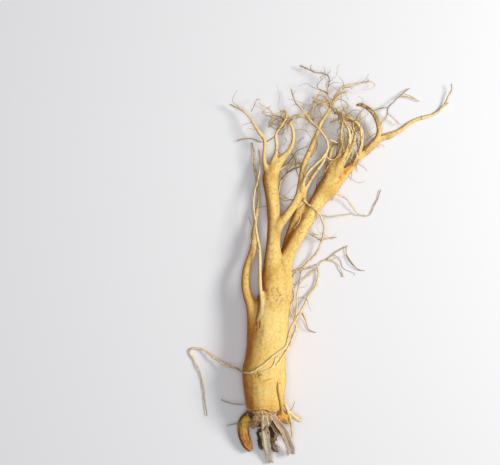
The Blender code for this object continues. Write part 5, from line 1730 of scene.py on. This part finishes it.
# %% Routes of the hairs that stand out
HAIR_ROUTES = [
    [(92.4, 164.2, 3.8, 0.34), (98.0, 164.2, 3.2, 0.3), (102.9, 162.8, 2.6, 0.26), (107.1, 161.0, 2.0, 0.2)],
    [(84.9, 156.4, 5.6, 0.32), (78.4, 155.4, 5.2, 0.28), (73.5, 154.0, 4.8, 0.2)],
    [(84.2, 152.2, 6.2, 0.32), (88.9, 148.4, 5.0, 0.28), (92.4, 144.2, 4.0, 0.22)],
    [(23.8, 42.7, 2.8, 0.4), (22.4, 36.4, 2.2, 0.34), (22.1, 31.5, 1.8, 0.26)],
    [(23.0, 13.0, 5.8, 0.36), (26.2, 7.0, 2.0, 0.3), (28.7, 0.0, 1.0, 0.28), (33.6, -2.4, 0.8, 0.2)],
    [(37.0, 80.4, 7.2, 0.3), (43.4, 79.5, 4.6, 0.26), (50.4, 80.5, 3.0, 0.22), (60.2, 81.6, 2.0, 0.16)],
    [(55.4, 58.6, 1.8, 0.32), (55.8, 52.5, 1.2, 0.28), (63.0, 42.7, 1.0, 0.24), (68.6, 41.3, 0.8, 0.16)],
    [(6.6, 94.2, 9.4, 0.34), (12.6, 92.4, 8.0, 0.3), (16.8, 91.0, 7.2, 0.28), (21.7, 91.0, 9.0, 0.22)],
    [(12.6, -59.4, 12.0, 0.5), (16.8, -61.6, 9.4, 0.42), (20.3, -63.7, 7.0, 0.34), (22.4, -63.0, 6.0, 0.24)],
    [(15.0, -56.6, 10.0, 0.3), (16.8, -55.3, 9.0, 0.26), (18.9, -50.4, 8.0, 0.2)],
    [
        (-11.9, 153.3, 9.4, 0.34), (-9.8, 156.8, 8.9, 0.29), (-8.4, 161.0, 7.5, 0.23),
        (-7.7, 162.0, 6.9, 0.21), (-5.6, 161.7, 5.8, 0.19),
    ],
    [(-6.6, 159.9, 3.0, 0.3), (-3.5, 157.8, 2.9, 0.25), (-0.7, 156.1, 2.1, 0.21), (2.1, 157.5, 0.8, 0.17)],
    [(-4.2, 152.2, 3.0, 0.26), (-1.4, 155.4, 1.7, 0.14)],
    [
        (-0.7, 156.1, 3.0, 0.34), (1.4, 154.7, 4.0, 0.31), (3.1, 151.9, 5.0, 0.26), (3.5, 148.4, 5.4, 0.22),
        (2.1, 146.3, 5.4, 0.19),
    ],
    [
        (9.1, 150.5, 7.0, 0.26), (10.5, 152.6, 10.1, 0.22), (12.6, 151.9, 12.1, 0.18),
        (13.6, 149.8, 13.6, 0.14),
    ],
    [(7.0, 143.5, 14.2, 0.3), (6.6, 140.0, 14.8, 0.23), (7.0, 136.5, 13.8, 0.17)],
    [(5.6, 148.4, 6.5, 0.34), (7.7, 146.3, 11.2, 0.26), (10.5, 145.6, 14.2, 0.19)],
    [(8.4, 149.8, 6.9, 0.34), (11.2, 147.7, 11.0, 0.26), (14.7, 148.4, 13.6, 0.19)],
    [(11.2, 144.2, 14.2, 0.3), (13.3, 147.0, 11.1, 0.22), (15.4, 146.3, 7.8, 0.17)],
    [(7.7, 143.5, 14.2, 0.3), (10.5, 144.2, 15.0, 0.23), (12.6, 142.8, 14.2, 0.17)],
    [(18.9, 146.3, 8.6, 0.28), (20.3, 143.5, 8.5, 0.2), (21.0, 142.1, 7.4, 0.15)],
    [(19.6, 140.0, 7.4, 0.28), (22.4, 138.2, 7.2, 0.2), (24.5, 138.2, 5.8, 0.15)],
]
print("hairs with routes so far:", len(HAIR_ROUTES))

# %% More routes of the hairs that stand out
HAIR_ROUTES += [
    [(20.6, 130.9, 7.8, 0.3), (23.1, 133.7, 7.5, 0.22), (25.2, 135.1, 6.0, 0.17)],
    [(11.9, 135.1, 7.6, 0.26), (13.3, 132.3, 7.5, 0.2), (11.2, 130.2, 5.8, 0.14)],
    [
        (16.8, 123.9, 8.4, 0.55), (18.9, 120.4, 10.0, 0.5), (19.6, 115.5, 11.6, 0.43),
        (20.3, 110.6, 12.6, 0.36), (21.7, 106.4, 13.2, 0.3),
    ],
    [
        (12.6, 144.9, 14.1, 0.62), (10.5, 142.1, 13.3, 0.6), (7.7, 138.6, 12.2, 0.56),
        (4.9, 135.8, 11.2, 0.54), (2.1, 133.7, 10.2, 0.51), (-1.4, 131.9, 9.1, 0.49),
        (-5.6, 132.3, 7.8, 0.46), (-11.2, 134.0, 5.9, 0.42), (-16.1, 134.4, 4.2, 0.38),
        (-21.7, 133.0, 2.1, 0.34),
    ],
    [(9.1, 105.0, 5.9, 0.34), (12.6, 109.2, 6.8, 0.28), (16.1, 112.0, 6.7, 0.23), (19.6, 113.4, 6.2, 0.19)],
    [
        (28.0, 150.5, 6.5, 0.4), (32.9, 156.1, 7.9, 0.33), (37.8, 158.9, 8.2, 0.27),
        (43.4, 158.9, 8.1, 0.22),
    ],
    [(28.7, 149.1, 13.4, 0.34), (33.6, 149.1, 12.6, 0.26), (37.1, 146.3, 10.2, 0.19)],
    [(35.7, 149.1, 10.1, 0.26), (35.0, 144.9, 10.4, 0.14)],
    [
        (32.2, 161.0, 5.2, 0.36), (34.3, 164.5, 6.5, 0.31), (37.1, 164.8, 7.2, 0.28),
        (40.6, 162.4, 7.6, 0.23), (42.0, 159.6, 7.7, 0.2),
    ],
    [
        (32.2, 161.0, 5.2, 0.3), (35.7, 161.7, 6.9, 0.26), (40.6, 160.3, 8.6, 0.21),
        (44.1, 158.9, 9.1, 0.17),
    ],
    [(48.3, 164.5, 8.2, 0.3), (51.8, 166.6, 10.5, 0.23), (55.3, 166.6, 10.9, 0.17)],
    [(42.0, 133.0, 18.1, 0.3), (44.1, 128.1, 13.3, 0.22), (43.4, 124.6, 8.8, 0.17)],
    [(43.4, 126.0, 8.8, 0.32), (46.2, 129.5, 11.2, 0.25), (51.1, 131.6, 12.3, 0.18)],
    [
        (53.9, 147.0, 16.0, 0.36), (58.8, 145.6, 15.7, 0.28), (61.6, 147.0, 14.6, 0.23),
        (63.0, 145.6, 13.7, 0.2),
    ],
    [
        (58.8, 148.4, 13.8, 0.42), (58.8, 141.4, 13.0, 0.36), (61.6, 137.2, 12.0, 0.31),
        (62.3, 131.6, 10.4, 0.26), (63.0, 128.1, 9.2, 0.23),
    ],
    [(66.5, 133.0, 11.1, 0.4), (71.4, 139.3, 10.1, 0.28), (74.2, 142.1, 8.6, 0.22)],
    [(63.0, 146.3, 13.8, 0.32), (68.6, 149.8, 12.5, 0.22), (70.0, 151.9, 11.2, 0.18)],
    [(74.9, 154.0, 11.0, 0.3), (79.8, 155.8, 8.9, 0.23), (84.0, 156.1, 5.7, 0.17)],
    [
        (21.0, 91.0, 14.0, 0.36), (15.4, 91.0, 12.4, 0.3), (11.9, 90.3, 10.9, 0.26), (9.1, 92.4, 9.0, 0.22),
        (8.4, 94.5, 7.7, 0.2),
    ],
    [(10.5, 93.8, 7.6, 0.24), (13.3, 92.4, 6.6, 0.13)],
    [(9.1, 89.6, 8.6, 0.24), (11.2, 86.1, 7.4, 0.13)],
    [(-13.3, 79.1, 14.2, 0.28), (-11.2, 72.8, 10.9, 0.19), (-10.1, 70.7, 8.9, 0.15)],
    [(28.7, 67.9, 8.4, 0.34), (32.9, 65.1, 8.3, 0.26), (37.1, 62.6, 6.5, 0.19)],
    [(30.8, 67.9, 7.3, 0.24), (35.0, 66.5, 5.5, 0.13)],
    [(24.5, 11.9, 5.8, 0.38), (26.6, 6.3, 4.8, 0.32), (28.7, 0.0, 2.9, 0.26), (33.6, -2.1, 0.8, 0.21)],
    [(39.2, 80.5, 13.6, 0.28), (43.4, 79.4, 11.8, 0.25), (50.4, 80.5, 8.4, 0.21), (60.2, 81.5, 2.5, 0.15)],
    [(55.3, 52.5, 1.7, 0.28), (58.8, 46.9, 2.1, 0.23), (63.0, 42.7, 1.8, 0.19), (68.6, 41.3, 0.8, 0.15)],
    [(95.2, 166.6, 3.0, 0.28), (100.8, 164.5, 2.8, 0.22), (107.1, 161.0, 0.8, 0.15)],
    [(86.1, 150.5, 6.5, 0.28), (89.6, 147.7, 5.2, 0.22), (93.8, 144.2, 2.0, 0.15)],
    [(16.8, -61.6, 9.6, 0.4), (20.3, -63.7, 8.9, 0.28), (22.4, -63.0, 7.5, 0.22)],
]
print("hairs with routes of their own:", len(HAIR_ROUTES))

# %% A helper that grows a hair
HAIR_RADII = (0.14, 0.34)
HAIR_LENGTHS = (5, 6, 8, 10, 12, 16, 20, 28)
HAIR_STEP = 1.0
LOWEST_HAIR = 0.4
# How much of its bend a hair keeps at each step, how much new bend it takes on, and how far that turns it.
BEND_KEPT = 0.8
BEND_ADDED = 0.55
BEND_TURN = 0.27


def grown_hair(picker, rows, station):
    """A short curly route out of one station of a rootlet."""
    tangents, across, up = frames_along(rows[:, :3])
    turn = picker.uniform(0, 2 * math.pi)
    heading = across[station] * math.cos(turn) + up[station] * math.sin(turn) * 0.6 + tangents[station] * 1.1
    heading = Vector(heading).normalized()
    place = Vector(rows[station, :3])
    radius = min(picker.uniform(*HAIR_RADII), rows[station, 3] * 0.6)
    length = picker.choice(HAIR_LENGTHS)
    bend = Vector((picker.gauss(0, 1), picker.gauss(0, 1), picker.gauss(0, 0.5)))
    route = []
    for step in range(length):
        route.append((*place, radius * (1 - 0.6 * step / length)))
        wander = Vector((picker.gauss(0, 1), picker.gauss(0, 1), picker.gauss(0, 0.6)))
        bend = bend * BEND_KEPT + wander * BEND_ADDED
        heading = (heading + bend * BEND_TURN).normalized()
        place = place + heading * HAIR_STEP
        place.z = max(place.z, LOWEST_HAIR)
    return np.array(route)


# %% Grow the other hairs
# Hairs grow among the legs and in the tangles, most of all beyond the line TANGLES_FROM.
HAIR_COUNT = 300
HAIRS_FROM = 30
HAIRS_LEFT_OF = 78
TANGLES_FROM = 92
FEW_HAIRS = 0.15

picker = random.Random(37)
hosts = [*branch_routes.values(), *rootlet_routes.values()]
hosts = [rows for rows in hosts if rows[:, 1].max() > HAIRS_FROM and rows[:, 0].max() < HAIRS_LEFT_OF]
weights = [len(rows) * (1.0 if rows[:, 1].min() > TANGLES_FROM else FEW_HAIRS) for rows in hosts]
hairs = [smooth_route(route, 1.0) for route in HAIR_ROUTES]
for _ in range(HAIR_COUNT):
    rows = picker.choices(hosts, weights)[0]
    hairs.append(grown_hair(picker, rows, picker.randrange(2, len(rows) - 1)))
hair_shells = [tube(wiggled(rows, number, 0.3), 5) for number, rows in enumerate(hairs)]
print("roots that carry hairs:", len(hosts))

# %% Make and colour the hairs
hair_tones = np.concatenate([np.full(len(shell[0]), picker.random()) for shell in hair_shells])
hair_points, hair_faces = joined(hair_shells)
hair_mesh = mesh_from("hair_roots", kept_in_box(hair_points), hair_faces)
give_colour(hair_mesh, layered(plain(ROOTLET, hair_points), [
    (GOLD, 0.15 + 0.4 * soft_step(0.1, 0.5, hair_tones)),
    (ROOTLET_TIP, 0.8 * soft_step(0.35, 0.65, hair_tones)),
    (SOIL, 0.7 * soft_step(0.75, 0.95, hair_tones)),
    (ROOTLET_TIP, 0.2 + 0.4 * bumps(hair_points, 5.0, 73)),
]))
print("hairs:", len(hairs), "with", len(hair_faces), "faces")

# %% [markdown]
# ## Materials
#
# The colour attribute holds what depends on shape. An image could hold the rest, but it would need the mesh
# unwrapped. Noise nodes that read the place in space need no unwrapping, and they add what is too fine for
# the mesh: tiny brown specks, an uneven sheen, and a bump of crossing wrinkles. Fresh root skin is moist
# and thin, so light goes a little way in: that is what the subsurface setting gives, and it keeps the
# shadows warm.

# %% Helpers for the materials
def noise_texture(tree, where, size, detail=2.0, roughness=0.5):
    """A noise texture whose swells are about `size` millimetres wide."""
    texture = tree.nodes.new("ShaderNodeTexNoise")
    texture.inputs["Scale"].default_value = 1 / (size * MM)
    texture.inputs["Detail"].default_value = detail
    texture.inputs["Roughness"].default_value = roughness
    tree.links.new(where.outputs["Object"], texture.inputs["Vector"])
    return texture.outputs["Fac"]


def add_specks(tree, where, shader, size, share):
    """Takes the colour from the mesh and multiplies it by small brown specks."""
    tone = tree.nodes.new("ShaderNodeAttribute")
    tone.attribute_name = "tone"
    ramp = tree.nodes.new("ShaderNodeValToRGB")
    clear, dark = ramp.color_ramp.elements
    clear.position = 0.60
    clear.color = (1, 1, 1, 1)
    dark.position = 0.72
    dark.color = (*[1 - times * share for times in (0.85, 1.2, 1.7)], 1)
    tree.links.new(noise_texture(tree, where, size, 3.0, 0.62), ramp.inputs["Fac"])
    speckled = tree.nodes.new("ShaderNodeMix")
    speckled.data_type = "RGBA"
    speckled.blend_type = "MULTIPLY"
    speckled.inputs["Factor"].default_value = 1.0
    tree.links.new(tone.outputs["Color"], speckled.inputs["A"])
    tree.links.new(ramp.outputs["Color"], speckled.inputs["B"])
    tree.links.new(speckled.outputs["Result"], shader.inputs["Base Color"])


def add_sheen(tree, where, shader, roughness):
    """Lets the roughness vary a little from place to place."""
    spread = tree.nodes.new("ShaderNodeMapRange")
    spread.inputs["To Min"].default_value = roughness - 0.12
    spread.inputs["To Max"].default_value = roughness + 0.12
    tree.links.new(noise_texture(tree, where, 6.0), spread.inputs["Value"])
    tree.links.new(spread.outputs["Result"], shader.inputs["Roughness"])


def add_wrinkles(tree, where, shader, height):
    """Adds a bump of crossing wrinkles, of a height in millimetres."""
    bump = tree.nodes.new("ShaderNodeBump")
    bump.inputs["Distance"].default_value = height * MM
    bump.inputs["Strength"].default_value = 0.7
    tree.links.new(noise_texture(tree, where, 0.9, 4.0), bump.inputs["Height"])
    tree.links.new(bump.outputs["Normal"], shader.inputs["Normal"])


# %% Build the materials
LIGHT_REACH = 0.0025
REACH_BY_COLOUR = (1.0, 0.45, 0.15)
MIRRORING = 0.10


def root_material(name, speck_size, speck_share, bump_height, roughness, inner_light):
    """A material that takes its colour from the mesh and adds specks, an uneven sheen and a fine bump."""
    made = bpy.data.materials.new(name)
    made.use_nodes = True
    tree = made.node_tree
    shader = tree.nodes["Principled BSDF"]
    shader.inputs["Subsurface Weight"].default_value = inner_light
    shader.inputs["Subsurface Radius"].default_value = REACH_BY_COLOUR
    shader.inputs["Subsurface Scale"].default_value = LIGHT_REACH
    shader.inputs["Specular IOR Level"].default_value = MIRRORING
    where = tree.nodes.new("ShaderNodeTexCoord")
    add_specks(tree, where, shader, speck_size, speck_share)
    add_sheen(tree, where, shader, roughness)
    add_wrinkles(tree, where, shader, bump_height)
    return made


skin_finish = root_material("fresh_skin", 1.4, 0.30, 0.16, 0.50, 0.18)
rootlet_finish = root_material("rootlet_skin", 1.0, 0.30, 0.10, 0.55, 0.15)
bark_finish = root_material("old_bark", 0.8, 0.45, 0.30, 0.80, 0.0)
stem_finish = root_material("dry_stem_fibre", 0.7, 0.40, 0.25, 0.85, 0.0)
print("materials:", [made.name for made in (skin_finish, rootlet_finish, bark_finish, stem_finish)])

# %% Finish the pieces: scale, smooth, material, ride on the root, and hide the solid part
def placed(mesh, finish, made=None):
    """Scales a mesh to metres, gives it its finish, makes it ride on the root and hides the solid part."""
    mesh.transform(Matrix.Scale(MM, 4))
    mesh.shade_smooth()
    mesh.materials.clear()
    mesh.materials.append(finish)
    made = made or object_from(mesh.name, mesh)
    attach(made, "root")
    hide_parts("root")
    return made


placed(skin_mesh, skin_finish, skin)
placed(branch_mesh, rootlet_finish)
placed(rootlet_mesh, rootlet_finish)
placed(hair_mesh, rootlet_finish)
placed(fibre_mesh, bark_finish)
for stem in (stem_middle, stem_right):
    stem.data.materials.append(stem_finish)
print("pieces that stand for the root:", skin.name, branch_mesh.name, rootlet_mesh.name, hair_mesh.name)

# %% [markdown]
# ## Table and light
#
# A pale floor lies under the root. A large soft light from the right models its roundness, and a second one
# straight above keeps the floor bright. Small lamps would draw hard shadows. The sky is weak on purpose: a
# bright sky would light the root's sides as much as its top, and it would look flat.

# %% Floor
FLOOR_SIDE = 3.0
FLOOR_COLOUR = (0.86, 0.855, 0.87, 1)

half = FLOOR_SIDE / 2
floor_mesh = bpy.data.meshes.new("floor")
floor_corners = [(-half, -half, 0), (half, -half, 0), (half, half, 0), (-half, half, 0)]
floor_mesh.from_pydata(floor_corners, [], [(0, 1, 2, 3)])
floor = object_from("floor", floor_mesh)
floor_finish = bpy.data.materials.new("pale_floor")
floor_finish.use_nodes = True
floor_shader = floor_finish.node_tree.nodes["Principled BSDF"]
floor_shader.inputs["Base Color"].default_value = FLOOR_COLOUR
floor_shader.inputs["Roughness"].default_value = 0.7
floor_mesh.materials.append(floor_finish)
print("floor:", FLOOR_SIDE, "m a side")

# %% Lights and sky
AIM = (0.02, 0.05, 0.01)
WARM = (1.0, 0.985, 0.95)
COOL = (0.96, 0.975, 1.0)
SKY_COLOUR = (0.95, 0.97, 1.0, 1)
SKY_STRENGTH = 0.22


def soft_light(name, place, size, power, colour):
    """A round lamp as wide as `size` in metres, aimed at the root."""
    data = bpy.data.lights.new(name, "AREA")
    data.shape = "DISK"
    data.size = size
    data.energy = power
    data.color = colour
    light = bpy.data.objects.new(name, data)
    light.location = place
    light.rotation_euler = (Vector(AIM) - Vector(place)).to_track_quat("-Z", "Y").to_euler()
    scene.collection.objects.link(light)


soft_light("key_light", (0.85, 0.25, 0.75), 0.42, 9.4, WARM)
soft_light("overhead_light", (-0.05, 0.0, 1.3), 0.7, 5.75, COOL)
sky = bpy.data.worlds.new("pale_sky")
scene.world = sky
sky.use_nodes = True
sky.node_tree.nodes["Background"].inputs["Color"].default_value = SKY_COLOUR
sky.node_tree.nodes["Background"].inputs["Strength"].default_value = SKY_STRENGTH
scene.view_settings.view_transform = "Standard"
print("lights:", [made.name for made in bpy.data.lights])
